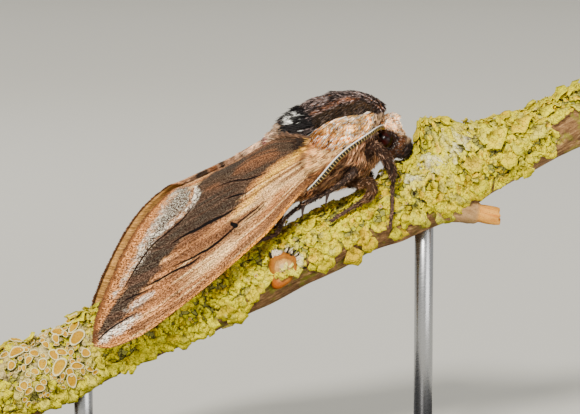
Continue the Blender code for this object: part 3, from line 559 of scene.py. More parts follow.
def roofPoint(u, q, side, depth):
    # out and down along the roof's profile for a way q round from its crest, then depth under the surface
    profile = np.array(roof["profile"])
    lengths = runLengths(profile)
    table = np.column_stack([lengths - lengths[roof["crestPoint"]], profile])
    here = valuesAlong(table, q)
    tangent = valuesAlong(table, q + 0.05) - valuesAlong(table, q - 0.05)
    tangent = unit(tangent)
    out = here[:, 0] - tangent[:, 1] * depth + roof["spread"] * smoothStep(0.0, 8.0, u)
    down = here[:, 1] + tangent[:, 0] * depth
    lift = roof["lift"] * np.clip(u + 5.0, 0.0, None)
    return np.column_stack([u, side * out, roof["ridge"][side] + lift - down])


def wingPlan(wing):
    # a patch blended between the wing's four edges: s runs from root to outer edge, t from costa
    # to inner margin
    rows, stations = wing["grid"]
    s, t = np.linspace(0, 1, stations), np.linspace(0, 1, rows)
    costa, inner = curveThrough(wing["costa"], stations, 2), curveThrough(wing["inner"], stations, 2)
    outer = curveThrough(wing["termen"], rows, 2)
    root = (1 - t)[:, None] * costa[0] + t[:, None] * inner[0]
    sweep = (1 - t)[:, None, None] * costa + t[:, None, None] * inner
    ends = (1 - s)[None, :, None] * root[:, None] + s[None, :, None] * outer[:, None]
    corners = (1 - t)[:, None, None] * ((1 - s)[:, None] * costa[0] + s[:, None] * costa[-1])
    corners = corners + t[:, None, None] * ((1 - s)[:, None] * inner[0] + s[:, None] * inner[-1])
    flat = sweep + ends - corners
    tt, ss = np.meshgrid(t, s, indexing="ij")
    width = np.linalg.norm(flat[0] - flat[-1], axis=1)[None, :].repeat(rows, 0)
    return flat.reshape(-1, 2), ss.ravel(), tt.ravel(), width.ravel()


def veinRelief(wing, s, t, width):
    # a rounded ridge along each vein, which leaves the cell's stem for its own end, and shallow folds between
    height = np.zeros_like(s)
    nearness = np.full_like(s, 9.0)
    for stem, end, leaves in wing["veins"]:
        path = stem + (end - stem) * smoothStep(leaves - 0.25, leaves + 0.35, s)
        across = np.abs(t - path) * width
        height = np.maximum(height, np.exp(-(across / wing["veinWidth"]) ** 2))
        nearness = np.minimum(nearness, across)
    fade = smoothStep(0.0, 0.12, s) * smoothStep(1.0, 0.93, s)
    folds = smoothStep(0.0, 2.2, nearness) * smoothStep(0.25, 0.7, s)
    return wing["veinHeight"] * height * fade - wing["foldDepth"] * folds * fade, height * fade


def forewingTones(places, s, t, width):
    # the markings one over the other; their edges are frayed and the ground streaked along the wing
    u, q = places.T
    c = marks["tones"]
    flat = np.zeros_like(u)
    flow = np.column_stack([s * 46.0, t * 15.0, flat])
    streaky = layeredNoise(flow * (0.16, 1.5, 1.0), 1.0, 3, 8)
    lines = latticeNoise(flow * (0.1, 3.4, 1.0), 1.0, 11)
    fray = np.column_stack([0.7 * latticeNoise(flow * (0.4, 2.6, 1), 1.0, 3),
                            0.16 * latticeNoise(flow, 0.45, 4)])
    frayed = places + fray
    speckle = latticeNoise(np.column_stack([u, q, flat]), 0.2, 17)
    blot = layeredNoise(np.column_stack([u * 0.5, q, flat]), 1.3, 2, 19)
    made = blendTones(c["ground"], [(np.clip(0.75 * streaky, 0, 0.7), c["shade"]),
                                    (np.clip(-0.8 * streaky, 0, 0.7), c["light"])])
    for title, tint, strength in (("costaShade", "brown", 0.6), ("cream", "cream", 0.9),
                                  ("pale", "pale", 0.8)):
        cover = stroke(frayed, marks[title], 0.75)
        made = blendTones(made, [(cover * strength * np.clip(0.75 - 0.7 * streaky - 0.3 * lines, 0.15, 1),
                                  c[tint])])
    made = blendTones(made, [(np.clip(1.8 * (lines - 0.25), 0, 0.8), c["brown"]),
                             (np.clip(-1.8 * (lines + 0.35), 0, 0.8), c["pale"])])
    between = (smoothStep(-6.5, -10.0, u) * smoothStep(-26.0, -20.0, u)
               * smoothStep(8.4, 9.4, q) * smoothStep(12.4, 11.4, q))
    made = blendTones(made, [(between * np.clip(0.75 + 0.6 * streaky + 0.5 * lines, 0, 0.9), c["brown"])])
    outerPart = smoothStep(0.0, 0.9, nearestSide(places, marks["whiteBand"]))
    made = blendTones(made, [(outerPart * 0.9, c["margin"]),
                             (outerPart * np.clip(0.6 * blot, 0, 0.4), c["shade"])])
    dark = field(frayed, marks["darkField"], 0.3)
    depth = np.clip(0.4 + 0.5 * blot - 0.3 * streaky, 0, 1)
    made = blendTones(made, [(dark, c["dark"]), (dark * depth * smoothStep(4, -8, u), c["darkest"]),
                             (dark * np.clip(0.8 * lines - 0.1, 0, 0.5), c["umber"])])
    for line in marks["rust"]:
        made = blendTones(made, [(dark * stroke(frayed, line, 0.7) * np.clip(0.42 + 0.6 * lines, 0.05, 0.75),
                                  c["rust"])])
    patch = stroke(frayed, marks["speckles"], 0.6)
    made = blendTones(made, [(patch * 0.95, c["dark"])])
    for title, strength, edge in (("whiteBand", 0.95, 0.35), ("paleLine", 0.8, 0.15), ("crescent", 1.0, 0.2),
                                  ("apexPale", 1.0, 0.4), ("patchPale", 0.65, 0.3)):
        cover = stroke(frayed, marks[title], edge) * strength * smoothStep(-0.5, 0.35,
                speckle + 0.5 * streaky)
        if title == "whiteBand":
            made = blendTones(made, [(cover * 0.5, c["dark"])])
            patch, cover = np.maximum(patch, cover * 0.8), cover * 0.6
        made = blendTones(made, [(cover, c["white"])])
    edge, reach = marks["costaRidge"]
    edge = edge * (0.45 + 0.55 * smoothStep(0.12, 0.3, s))
    fromEdge = t * width
    along = smoothStep(reach, reach - 0.2, s)
    made = blendTones(made, [(smoothStep(edge * 3.4, edge * 1.6, fromEdge) * along * 0.6, c["brown"]),
                             (smoothStep(edge * 1.3, edge * 0.7, fromEdge) * (0.35 + 0.65 * along)
                              * smoothStep(0.14, 0.3, s), c["tan"])])
    waved = places + np.column_stack([flat, 0.05 * latticeNoise(flow * (1.2, 0.2, 1), 1.0, 27)])
    solid = insideStroke(places, marks["fleck"])
    for line in marks["streaks"]:
        solid = np.maximum(solid, insideStroke(waved, np.array(line) * (1, 1, marks["streakWidth"])))
    made = blendTones(made, [(smoothStep(-0.5, 0.1, solid) * 0.3, c["umber"])])
    inner = smoothStep(0.35, -0.2, q + 0.15 * blot + 0.45 * smoothStep(-2.0, -4.5, u)
                       * smoothStep(-12.0, -9.5, u))
    made = blendTones(made, [(inner, c["ridge"]), (inner * smoothStep(1.5, 3.5, u) * 0.8, c["brown"])]
                      + [(inner * cover, c[title]) for cover, title in ridgeSpots(u)])
    return blendTones(made, [(smoothStep(0.988, 1.0, s) * 0.8, c["darkest"])]), solid, patch


def ridgeSpots(u):
    # the dark and rusty spots where the wings meet along the back
    return [(smoothStep(half + 0.25, half - 0.25, np.abs(u - middle)), title)
            for middle, half, title in marks["ridge"]]


def nearestSide(places, line):
    # how far a place lies beyond a line, on the side of the wing's outer edge
    points = curveThrough(line, 60, 2)[:, :2]
    order = np.argsort(points[:, 1])
    border = np.interp(places[:, 1], points[order, 1], points[order, 0])
    return border - places[:, 0]


def hindwingTones(places, s, t, width):
    # rose pink crossed by three black bands that follow the outer edge
    c = {"rose": tone(206, 128, 128), "black": tone(38, 30, 32)}
    wobble = 0.03 * latticeNoise(np.column_stack([places, places[:, 0]]), 2.5, 31)
    bands = np.zeros(len(s))
    for middle, half in ((0.34, 0.05), (0.62, 0.07), (0.92, 0.06)):
        bands = np.maximum(bands, 1 - smoothStep(half - 0.02, half + 0.02, np.abs(s + wobble - middle)))
    return blendTones(c["rose"], [(bands, c["black"])]), 0 * s - 1, 0 * s


def wingLook(name, roughness, grain):
    # scales: the painted ground, light and dark grains lying along the wing, and a fine overlapping relief
    look = Look(name, roughness, specular=0.08)
    c = marks["tones"]
    ground = look.painted("scales")
    grains = look.noise(look.flow("flow", (2.7, 4.9, 1.0)), 1.0, 2.0, 0.85)
    coarse = look.noise(look.flow("flow", (1.5, 3.4, 1.0)), 1.0, 2.0, 0.6)
    lines = look.noise(look.flow("flow", (0.3, 4.6, 1.0)), 1.0, 3.0, 0.6)
    bright = look.mixed(0.1, look.mixed(0.95, ground, ground, "ADD"), c["scaleLit"])
    speckled = look.painted("speckled", "Fac")
    quiet = look.ramp(speckled, -1.0, 0.0, 0.2, 1.0)
    base = look.mixed(look.times(look.ramp(grains, 0.51, 0.55, 0.0, grain), quiet), ground, bright)
    base = look.mixed(look.times(look.ramp(grains, 0.495, 0.45, 0.0, grain), quiet), base,
                      look.mixed(0.95, base, c["scaleDark"]))
    base = look.mixed(look.ramp(coarse, 0.45, 0.36, 0.0, grain * 0.6), base,
                      look.mixed(0.6, base, c["scaleShade"]))
    base = look.mixed(look.ramp(lines, 0.5, 0.38, 0.0, 0.85), base, look.mixed(0.7, base, c["scaleLine"]))
    base = look.mixed(look.ramp(lines, 0.53, 0.63, 0.0, 0.7), base, look.mixed(0.6, base, base, "ADD"))
    base = look.mixed(look.times(look.ramp(grains, 0.55, 0.58), speckled), base, c["scaleWhite"])
    frayed = look.times(look.painted("solid", "Fac"), look.ramp(grains, 0.3, 0.7, -0.07, 0.07), "ADD")
    base = look.mixed(look.ramp(frayed, -0.03, 0.03), base, c["streak"])
    rows = look.noise(look.flow("flow", (3.0, 7.0, 1.0)), 1.4, 2.0, 0.6)
    normal = look.bump(rows, 0.5, 0.00008, look.bump(lines, 0.5, 0.0001))
    return look.finish(base, normal)


def makeWing(name, wing, side, look, tones, slot):
    # the outer face follows the roof and its veins; the inner face lies the wing's thickness below it
    places, s, t, width = wingPlan(wing)
    relief, veins = veinRelief(wing, s, t, width)
    fromRim = np.minimum(np.minimum(t, 1 - t) * width, (1 - s) * roof["wingLength"])
    thick = wing["edge"] + (wing["thickness"] - wing["edge"]) * smoothStep(0.0, 1.2, fromRim)
    costa = np.exp(-(t * width / 0.35) ** 2) * smoothStep(0.02, 0.1, s) * smoothStep(0.9, 0.5, s)
    relief = relief + 0.16 * costa
    depth = wing["depth"] + wing["rootDepth"] * smoothStep(*wing["rootEase"], places[:, 0])
    outer = roofPoint(places[:, 0], places[:, 1], side, depth - relief)
    inner = roofPoint(places[:, 0], places[:, 1], side, depth + thick + 0.1 * costa)
    outerTone, solid, speckled = tones(places, s, t, width)
    under = marks["tones"]["under"]
    mottle = layeredNoise(np.column_stack([places * (0.5, 2.0), 0 * s]), 1.2, 2, 41)
    lattice = blendTones(under, [(np.clip(0.4 * mottle, 0, 0.4), marks["tones"]["underMottle"]),
                                                      (0.5 * veins, marks["tones"]["underVein"]),
                                                      (0.85 * smoothStep(0.35, 0.1, fromRim),
                                                       marks["tones"]["underEdge"])])
    rows, stations = wing["grid"]
    size = rows * stations
    length = places[:, 0].max() - places[:, 0].min()
    flow = np.column_stack([s * length, t * width.max()])
    obj = makePiece(name, np.concatenate([outer, inner]), plateFaces(rows, stations), look,
                    {"scales": np.concatenate([outerTone, lattice]),
                     "solid": np.concatenate([solid, 0 * solid - 1]),
                     "speckled": np.concatenate([speckled, 0 * speckled - 1])},
                    {"flow": np.concatenate([flow, flow + (0, 60.0)])})
    wingGrids[name] = (outer.reshape(rows, stations, 3), outerTone.reshape(rows, stations, 3))
    return settle(obj, slot, name)


wingGrids = {}
forewingLook = wingLook("forewing_scales", 0.62, 0.95)
hindwingLook = wingLook("hindwing_scales", 0.66, 0.45)
for side, word in sides.items():
    makeWing(f"forewing_{word}", forewing, side, forewingLook, forewingTones, "forewing_scales")
    makeWing(f"hindwing_{word}", hindwing, side, hindwingLook, hindwingTones, "hindwing_scales")
print("wings laid over their roof")


# Coat: tufts that overlap and lie along the body, in pieces by region

coat = {
    "seed": 33, "sink": 0.12,
    "patch": 0.003,   # how far each tuft spreads in the map that bakes its colours
    # density per square millimetre (on the wings, the count of tufts), length, width, standing
    # angle in degrees, bend back towards the skin, disorder
    "back": (28, 1.5, 0.2, 22, 0.5, 0.5), "rear": (30, 2.5, 0.22, 28, 0.4, 0.55),
    "under": (20, 2.2, 0.22, 27, 0.45, 0.7), "head": (52, 0.95, 0.19, 46, 0.35, 0.6),
    "abdomen": (11, 0.8, 0.26, 8, 0.6, 0.2), "tegula": (46, 1.5, 0.17, 9, 0.5, 0.16),
    "palp": (70, 0.65, 0.1, 30, 0.35, 0.5), "leg": (44, 0.95, 0.11, 32, 0.35, 0.65),
    "wingRoot": (1500, 1.9, 0.17, 5, 0.9, 0.1), "margin": (1900, 1.5, 0.15, 24, 0.5, 0.5),
    "fringe": (1300, 0.38, 0.2, 2, 0.0, 0.15),
    "contrast": 0.42,   # how widely the shade of neighbouring tufts varies
    # square millimetres that the tufts of each kind are counted over
    "areas": {"back": 420, "rear": 110, "under": 260, "head": 95, "abdomen": 480, "tegula": 62, "palp": 13},
}


def scatter(grid, count, chance, weight=None, closed=True):
    # roots spread over a grid of points by area: a cell drawn by its share, then a place inside it
    wrapped = np.concatenate([grid, grid[:, :1]], 1) if closed else grid
    a, b, c, d = wrapped[:-1, :-1], wrapped[:-1, 1:], wrapped[1:, 1:], wrapped[1:, :-1]
    normal = np.cross(c - a, b - d)
    area = np.linalg.norm(normal, axis=2) / 2
    share = (area if weight is None else area * weight((a + c) / 2)).ravel()
    picked = chance.choice(share.size, count, p=share / share.sum())
    i, j = np.unravel_index(picked, area.shape)
    s, t = chance.uniform(0, 1, (2, count))
    root = (a[i, j] * ((1 - s) * (1 - t))[:, None] + b[i, j] * ((1 - s) * t)[:, None]
            + c[i, j] * (s * t)[:, None] + d[i, j] * (s * (1 - t))[:, None])
    out = unit(normal[i, j])
    unwrapped = np.column_stack([(i + s) / area.shape[0], (j + t) / area.shape[1]])
    return root, out, unwrapped


def outwards(root, out, centre):
    # normals turned away from the part's own middle line
    flip = np.sum((root - centre) * out, axis=1) < 0
    return np.where(flip[:, None], -out, out)


def growTufts(root, out, lie, kind, chance, lengths=1.0):
    # a blade of three sides: its middle line starts under the skin, rises by the standing angle
    # and bends back
    _, length, width, stand, bend, disorder = kind
    count = len(root)
    clump = np.stack([latticeNoise(root, 1.1, 131 + k) for k in range(3)], 1) * disorder
    way = lie + clump + chance.normal(0, 0.12, (count, 3))
    way -= np.sum(way * out, axis=1, keepdims=True) * out
    way = unit(way)
    side = np.cross(out, way)
    long = length * lengths * (1 + 0.3 * latticeNoise(root, 1.6, 137)) * chance.uniform(0.75, 1.2, count)
    wide = width * chance.uniform(0.7, 1.3, count)
    phi = np.radians(stand * (1 + 0.5 * latticeNoise(root, 0.9, 141)) * chance.uniform(0.5, 1.5, count))
    points = np.empty((count, 7, 3))
    for t, size, first in ((0.0, 1.0, 0), (0.55, 0.8, 3)):
        middle = (root + (long * t * np.cos(phi))[:, None] * way
                  + (long * t * (1 - bend * t) * np.sin(phi) - (coat["sink"] if t == 0 else 0))[:, None]
                  * out)
        points[:, first] = middle - side * (wide * size / 2)[:, None]
        points[:, first + 1] = middle + side * (wide * size / 2)[:, None]
        points[:, first + 2] = middle + out * (wide * size * 0.4)[:, None]
    points[:, 6] = (root + (long * np.cos(phi))[:, None] * way
                    + (long * (1 - bend) * np.sin(phi))[:, None] * out)
    return points


def tuftFaces(count):
    quads = repeated(np.array([(0, 1, 4, 3), (1, 2, 5, 4), (2, 0, 3, 5)]), 7, count)
    ends = repeated(np.array([(3, 4, 6), (4, 5, 6), (5, 3, 6), (0, 2, 1)]), 7, count)
    return [quads, ends]


# Branch: bark, the plates of lichen on it, a knot and the stub of a twig

perch = {
    "axisHeight": -6.87, "axisSlope": 0.0093,
    "back": -56.5, "front": 52.0,
    "radii": ((-56.5, 6.2, 5.9, 6.0), (-42.0, 5.5, 5.9, 5.8), (-30.0, 5.5, 5.4, 5.6), (-20.0, 5.1, 5.9, 5.5),
              (-10.0, 4.9, 5.7, 5.4), (0.0, 4.7, 5.4, 5.3), (9.0, 4.5, 5.5, 5.2), (15.0, 4.8, 5.7, 5.5),
              (20.0, 5.4, 6.0, 5.9), (22.4, 7.5, 6.1, 6.3), (24.6, 10.1, 6.1, 6.7), (27.5, 9.2, 5.6, 6.6),
              (31.0, 7.3, 5.0, 6.2), (35.0, 5.9, 4.5, 5.5), (41.0, 5.0, 4.5, 4.8), (52.0, 4.4, 4.1, 4.3)),
    "wave": 0.12,
    "grid": (520, 168),                 # rings along, points around
    "lichenDepth": 0.75,                # how far the bark lies under the outline where lichen grows
    "edge": 116.0, "edgeWobble": 13.0,  # degrees from the top where the lichen stops
    "lowEdge": 16.0,                    # how much further down it reaches under the wings' tips
    "bareEnd": (42.5, 58.0),            # past this u, and below this many degrees, the near side is bare
    "fibre": 0.16, "lumps": 0.2, "grains": 0.3,
    # low mounds of crust under the head and at the rear: u, half length, half width in degrees, and height
    "mounds": ((17.4, 3.0, 36.0, 1.15), (-49.0, 1.7, 50.0, 1.1), (-36.3, 1.6, 44.0, 0.8)),
    "tones": {"bark": tone(150, 120, 92), "pale": tone(196, 166, 132), "dark": tone(78, 57, 42),
              "green": tone(122, 128, 58), "soil": tone(34, 27, 16), "wood": tone(226, 186, 142),
              "woodRing": tone(188, 140, 96),
              "crustGold": tone(196, 174, 10), "crustPale": tone(196, 192, 100),
              "crustGrey": tone(150, 148, 98)},
}
lichen = {
    "lobes": 5200, "seed": 5, "grid": (3, 7), "rosettes": 150,
    "length": (0.5, 2.5), "thickness": 0.12,
    # (u, degrees, length, heading in degrees) of the largest fans
    "fans": ((5.8, 108.0, 3.6, 90.0), (8.2, 104.0, 2.6, 70.0), (33.0, 40.0, 3.2, 60.0),
             (36.5, 62.0, 3.0, 80.0),
             (24.5, 4.0, 2.4, 200.0), (22.6, 12.0, 2.2, 160.0), (27.0, 2.0, 2.2, 20.0),
             (40.2, 2.0, 2.6, -10.0),
             (46.5, 10.0, 2.8, 30.0), (48.5, -8.0, 2.6, -40.0), (-52.0, 20.0, 2.8, 60.0),
             (-53.0, 70.0, 2.6, 100.0),
             (-16.0, 108.0, 2.6, 95.0), (-26.0, 112.0, 2.4, 80.0), (13.5, 112.0, 2.3, 100.0),
             (-22.0, 60.0, 2.4, 60.0),
             (31.0, 30.0, 3.2, 20.0), (34.5, 76.0, 2.8, 95.0), (37.5, 30.0, 3.3, 60.0),
             (39.8, 55.0, 3.0, 75.0),
             (29.0, 62.0, 2.6, 100.0), (42.0, 28.0, 2.8, 45.0), (45.0, 8.0, 3.0, 20.0),
             (27.5, 100.0, 2.6, 110.0),
             (35.5, 8.0, 2.6, 30.0), (-48.9, 0.0, 3.0, 180.0), (-50.2, -5.0, 2.8, 150.0),
             (-47.6, 6.0, 2.6, 20.0), (-36.6, 2.0, 3.0, 180.0), (-35.4, -4.0, 2.6, 0.0),
             (-37.4, 8.0, 2.4, 100.0),
             (-54.0, 45.0, 2.6, 90.0), (17.8, 96.0, 2.6, 100.0), (1.0, 106.0, 2.4, 80.0)),
    # how many more lobes, between which u, and within what angle of the top
    "onBurl": (320, 19.4, 24.4, 95.0),
    "tones": {"yellow": tone(248, 222, 0), "gold": tone(238, 202, 0), "pale": tone(250, 236, 104),
              "grey": tone(214, 204, 130), "crust": tone(200, 188, 158), "white": tone(255, 248, 232),
              "rim": tone(255, 242, 60), "under": tone(236, 222, 140), "soil": tone(80, 62, 4),
              "dust": tone(252, 234, 130), "blotch": tone(222, 206, 84), "crackShade": tone(52, 44, 10)},
}
cups = {   # the orange fruiting discs
    "cluster": ((-50.6, -38.6), (2.0, 120.0), 92), "scattered": 130, "seed": 21, "draws": 3000,
    "radius": (0.24, 1.2), "around": 16,
    # (share of the radius, height as a share of it, how much of it is disc) from the foot to the middle
    "profile": ((0.55, -0.5, 0), (0.8, 0.1, 0), (0.98, 0.38, 0), (1.0, 0.52, 0), (0.9, 0.6, 0),
                (0.8, 0.5, 0.5),
                (0.74, 0.38, 1), (0.4, 0.3, 1)),
    "tones": {"disc": tone(196, 160, 0), "deep": tone(176, 132, 0), "rim": tone(248, 240, 200)},
}
knot = {
    "place": (-5.0, 96.0), "radius": 1.85, "around": 40,
    "profile": ((1.25, -1.0), (1.18, 0.0), (1.08, 0.42), (0.94, 0.52), (0.82, 0.4), (0.66, 0.22), (0.45, 0.3),
                (0.22, 0.4)),
    # heading, spread, and reach as a share of the radius, of its torn lower edge
    "flap": (221.0, 30.0, 0.62),
    "splinters": (46, -40.0, 118.0),    # how many, and between which headings, stand round its upper edge
    "tones": {"ring": tone(168, 112, 72), "dish": tone(222, 176, 128), "middle": tone(246, 222, 184),
              "flap": tone(176, 104, 62), "splinter": tone(240, 226, 204), "creviceShade": tone(20, 16, 12)},
}
stub = {
    "root": (21.5, -3.0, -9.6), "tip": (29.3, -4.2, -14.9), "radius": 1.75,
    # (share of the length, share of the radius, how much of it is bare wood)
    "profile": ((0.0, 1.4, 0), (0.15, 1.3, 0), (0.35, 1.12, 0), (0.5, 1.08, 0), (0.6, 1.05, 0),
                (0.64, 0.96, 0.3),
                (0.67, 0.84, 1), (0.8, 0.83, 1), (0.94, 0.8, 1), (0.99, 0.74, 1), (1.0, 0.6, 1),
                (0.995, 0.25, 1)),
    "around": 36,
    "tones": {"wood": tone(226, 172, 116), "grain": tone(180, 108, 66)},
}


def axisHeight(u):
    return perch["axisHeight"] + perch["axisSlope"] * u


def perchRadius(u, degrees):
    # an oval whose upper, lower and sideways reach change along the branch, with a slow wave in it
    up, down, sideways = valuesAlong(perch["radii"], u).T
    angle = np.radians(degrees)
    rise, out = np.cos(angle), np.sin(angle)
    oval = 1 / np.sqrt((rise / np.where(rise > 0, up, down)) ** 2 + (out / sideways) ** 2)
    return oval + perch["wave"] * (np.sin(0.55 * u + 2.1 * out) + 0.7 * np.sin(3 * angle + 0.31 * u))


def covered(u, degrees):
    # 1 where lichen grows and 0 on bare bark, degrees being round from the top towards the camera's side
    turned = (np.asarray(degrees) + 180) % 360 - 180
    place = np.stack([u * 0.2, np.abs(turned) * 0.02, np.sign(turned)], -1)
    low = perch["lowEdge"] * smoothStep(-8.0, -16.0, u)
    edge = perch["edge"] + low + perch["edgeWobble"] * layeredNoise(place, 1.0, 2, 51)
    cover = 1 - smoothStep(edge - 5, edge + 5, np.abs(turned))
    endU, endDegrees = perch["bareEnd"]
    bare = (smoothStep(endU - 0.8, endU + 0.8, u - 0.03 * (turned - 90))
            * smoothStep(endDegrees - 8, endDegrees, turned))
    return cover * (1 - bare)


def barkRadius(u, degrees):
    # the outline less the lichen's depth where it grows, with lengthwise fibres and low lumps
    rise = perchRadius(u, degrees) - perch["lichenDepth"] * covered(u, degrees)
    angle = np.radians(degrees)
    ring = np.stack([u * 0.12, 5.5 * np.cos(angle), 5.5 * np.sin(angle)], -1)
    lumps = np.stack([u, 5.5 * np.cos(angle), 5.5 * np.sin(angle)], -1)
    cover = covered(u, degrees)
    crust = perch["grains"] * cover * np.abs(layeredNoise(lumps, 0.8, 2, 68))
    fibres = perch["fibre"] * (1 - 0.7 * cover) * layeredNoise(ring, 1.1, 3, 61)
    turned = (degrees + 180) % 360 - 180
    mounds = sum(high * np.exp(-((u - middle) / long) ** 2 - (turned / wide) ** 2)
                 for middle, long, wide, high in perch["mounds"])
    return rise + crust + fibres + mounds + perch["lumps"] * latticeNoise(lumps * (0.5, 1, 1), 2.4, 66)


def onBranch(u, degrees, height=0.0, base=barkRadius):
    # out from the branch's axis at an angle from its top, to the bark and a height above it
    u, degrees = np.broadcast_arrays(np.asarray(u, float), np.asarray(degrees, float))
    reach = base(u.ravel(), degrees.ravel()).reshape(u.shape) + height
    angle = np.radians(degrees)
    return np.stack([u, -reach * np.sin(angle), axisHeight(u) + reach * np.cos(angle)], -1)


def barkLook():
    look = Look("bark", 0.85, specular=0.2)
    place = look.millimetres((0.25, 1.0, 1.0))
    fibres = look.noise(place, 2.2, 5.0, 0.7)
    patches = look.noise(look.millimetres(), 0.45, 3.0, 0.6)
    specks = look.noise(look.millimetres(), 5.0, 2.0, 0.6)
    tones = perch["tones"]
    base = look.mixed(look.ramp(fibres, 0.35, 0.65), tones["dark"], tones["bark"])
    base = look.mixed(look.ramp(fibres, 0.55, 0.75), base, tones["pale"])
    base = look.mixed(look.ramp(patches, 0.52, 0.7, 0.0, 0.75), base, tones["green"])
    base = look.mixed(look.ramp(specks, 0.62, 0.75, 0.0, 0.6), base, tones["pale"])
    cells = look.add("ShaderNodeTexVoronoi", {"Vector": look.millimetres(), "Scale": 1.15, "Detail": 1.0})
    edges = look.add("ShaderNodeTexVoronoi", {"Vector": look.millimetres(), "Scale": 1.15},
                     feature="DISTANCE_TO_EDGE")
    tint = look.add("ShaderNodeSeparateColor", {"Color": cells.outputs["Color"]})
    crust = look.mixed(look.ramp(tint.outputs[0], 0.4, 0.6), tones["crustGold"], tones["crustPale"])
    crust = look.mixed(look.ramp(tint.outputs[1], 0.6, 0.75), crust, tones["crustGrey"])
    crust = look.mixed(look.ramp(specks, 0.45, 0.35, 0.0, 0.7), crust, tones["soil"])
    # the crust darkens to near black at its cells' edges: cracks, partly dark bark and partly painted shade
    crust = look.mixed(look.ramp(edges.outputs["Distance"], 0.09, 0.02), crust, tones["soil"])
    base = look.mixed(look.painted("cover", "Fac"), base, crust)
    rings = look.add("ShaderNodeTexWave", {"Vector": look.millimetres((0.0, 1.0, 1.0)), "Scale": 0.9,
                                           "Distortion": 2.0, "Detail": 3.0}, wave_type="RINGS",
                     rings_direction="X").outputs["Fac"]
    wood = look.mixed(look.ramp(rings, 0.2, 0.8), tones["wood"], tones["woodRing"])
    base = look.mixed(look.painted("cut", "Fac"), base, wood)
    normal = look.bump(fibres, 0.8, 0.0002, look.bump(specks, 0.4, 0.00008))
    return look.finish(base, normal)


def makeBark(look):
    # rings of bark along the branch, then smaller ones across each sawn end
    rings, around = perch["grid"]
    angles = np.linspace(0, 360, around, endpoint=False)
    places = np.linspace(perch["back"], perch["front"], rings)
    uu, aa = np.meshgrid(places, angles, indexing="ij")
    side = onBranch(uu, aa)
    cover = covered(uu.ravel(), aa.ravel()).reshape(uu.shape)
    ends = []
    for ring in (side[0], side[-1]):
        middle = ring.mean(0)
        ends.append([middle + share * (ring - middle) for share in (0.985, 0.97, 0.6, 0.25)])
    points = np.concatenate([*ends[0][::-1], *side, *ends[1], [ends[0][0].mean(0), ends[1][0].mean(0)]])
    total = rings + 8
    cut = np.zeros((total, around))
    cut[:3] = 1
    cut[-3:] = 1
    covers = np.concatenate([np.zeros((4, around)), cover, np.zeros((4, around))])
    faces = tubeFaces(total, around, total * around, total * around + 1)
    obj = makePiece("perch_bark", points, faces, look, {"cover": np.append(covers.ravel(), (0, 0)),
                                                        "cut": np.append(cut.ravel(), (1, 1))})
    return settle(obj, "bark", "perch_branch")


def lichenLook(name="lichen", roughness=0.8, cracks=0.8):
    look = Look(name, roughness, specular=0.25)
    grains = look.noise(look.millimetres(), 6.0, 3.0, 0.65)
    blotches = look.noise(look.millimetres(), 1.3, 3.0, 0.6)
    warped = look.add("ShaderNodeTexNoise", {"Vector": look.millimetres(), "Scale": 1.6,
                                             "Detail": 2.0}).outputs["Color"]
    place = look.mixed(0.3, look.millimetres(), warped, "ADD")
    edges = look.add("ShaderNodeTexVoronoi", {"Vector": place, "Scale": 1.25},
                     feature="DISTANCE_TO_EDGE").outputs[0]
    base, tones = look.painted("growth"), lichen["tones"]
    base = look.mixed(look.ramp(grains, 0.48, 0.34, 0.0, 0.75), base, look.mixed(0.7, base, tones["soil"]))
    base = look.mixed(look.ramp(grains, 0.55, 0.75, 0.0, 0.06 + 0.55 * cracks), base,
                      look.mixed(0.5, base, tones["dust"]))
    base = look.mixed(look.ramp(blotches, 0.55, 0.7, 0.0, 0.02 + 0.41 * cracks), base, tones["blotch"])
    # the cells' edges darken to near black: gaps between the plates, partly the dark bark below and partly
    # painted shade
    base = look.mixed(look.ramp(edges, 0.05, 0.01, 0.0, cracks), base, tones["crackShade"])
    return look.finish(base, look.bump(edges, cracks, 0.0001, look.bump(grains, 0.6, 0.00012)))


def nearFeet(u, degrees):
    # how close a place is to the line of any foot, in millimetres
    near = np.full(len(u), 99.0)
    for foot in (legs["fore"]["foot"], legs["mid"]["foot"], legs["hind"]["foot"]):
        for footU, footDegrees, _ in foot:
            turned = np.abs((degrees + 180) % 360 - 180)
            around = np.radians(turned - footDegrees) * 5.2
            near = np.minimum(near, np.hypot(u - footU - moth["farStep"] / 2, around))
    return near


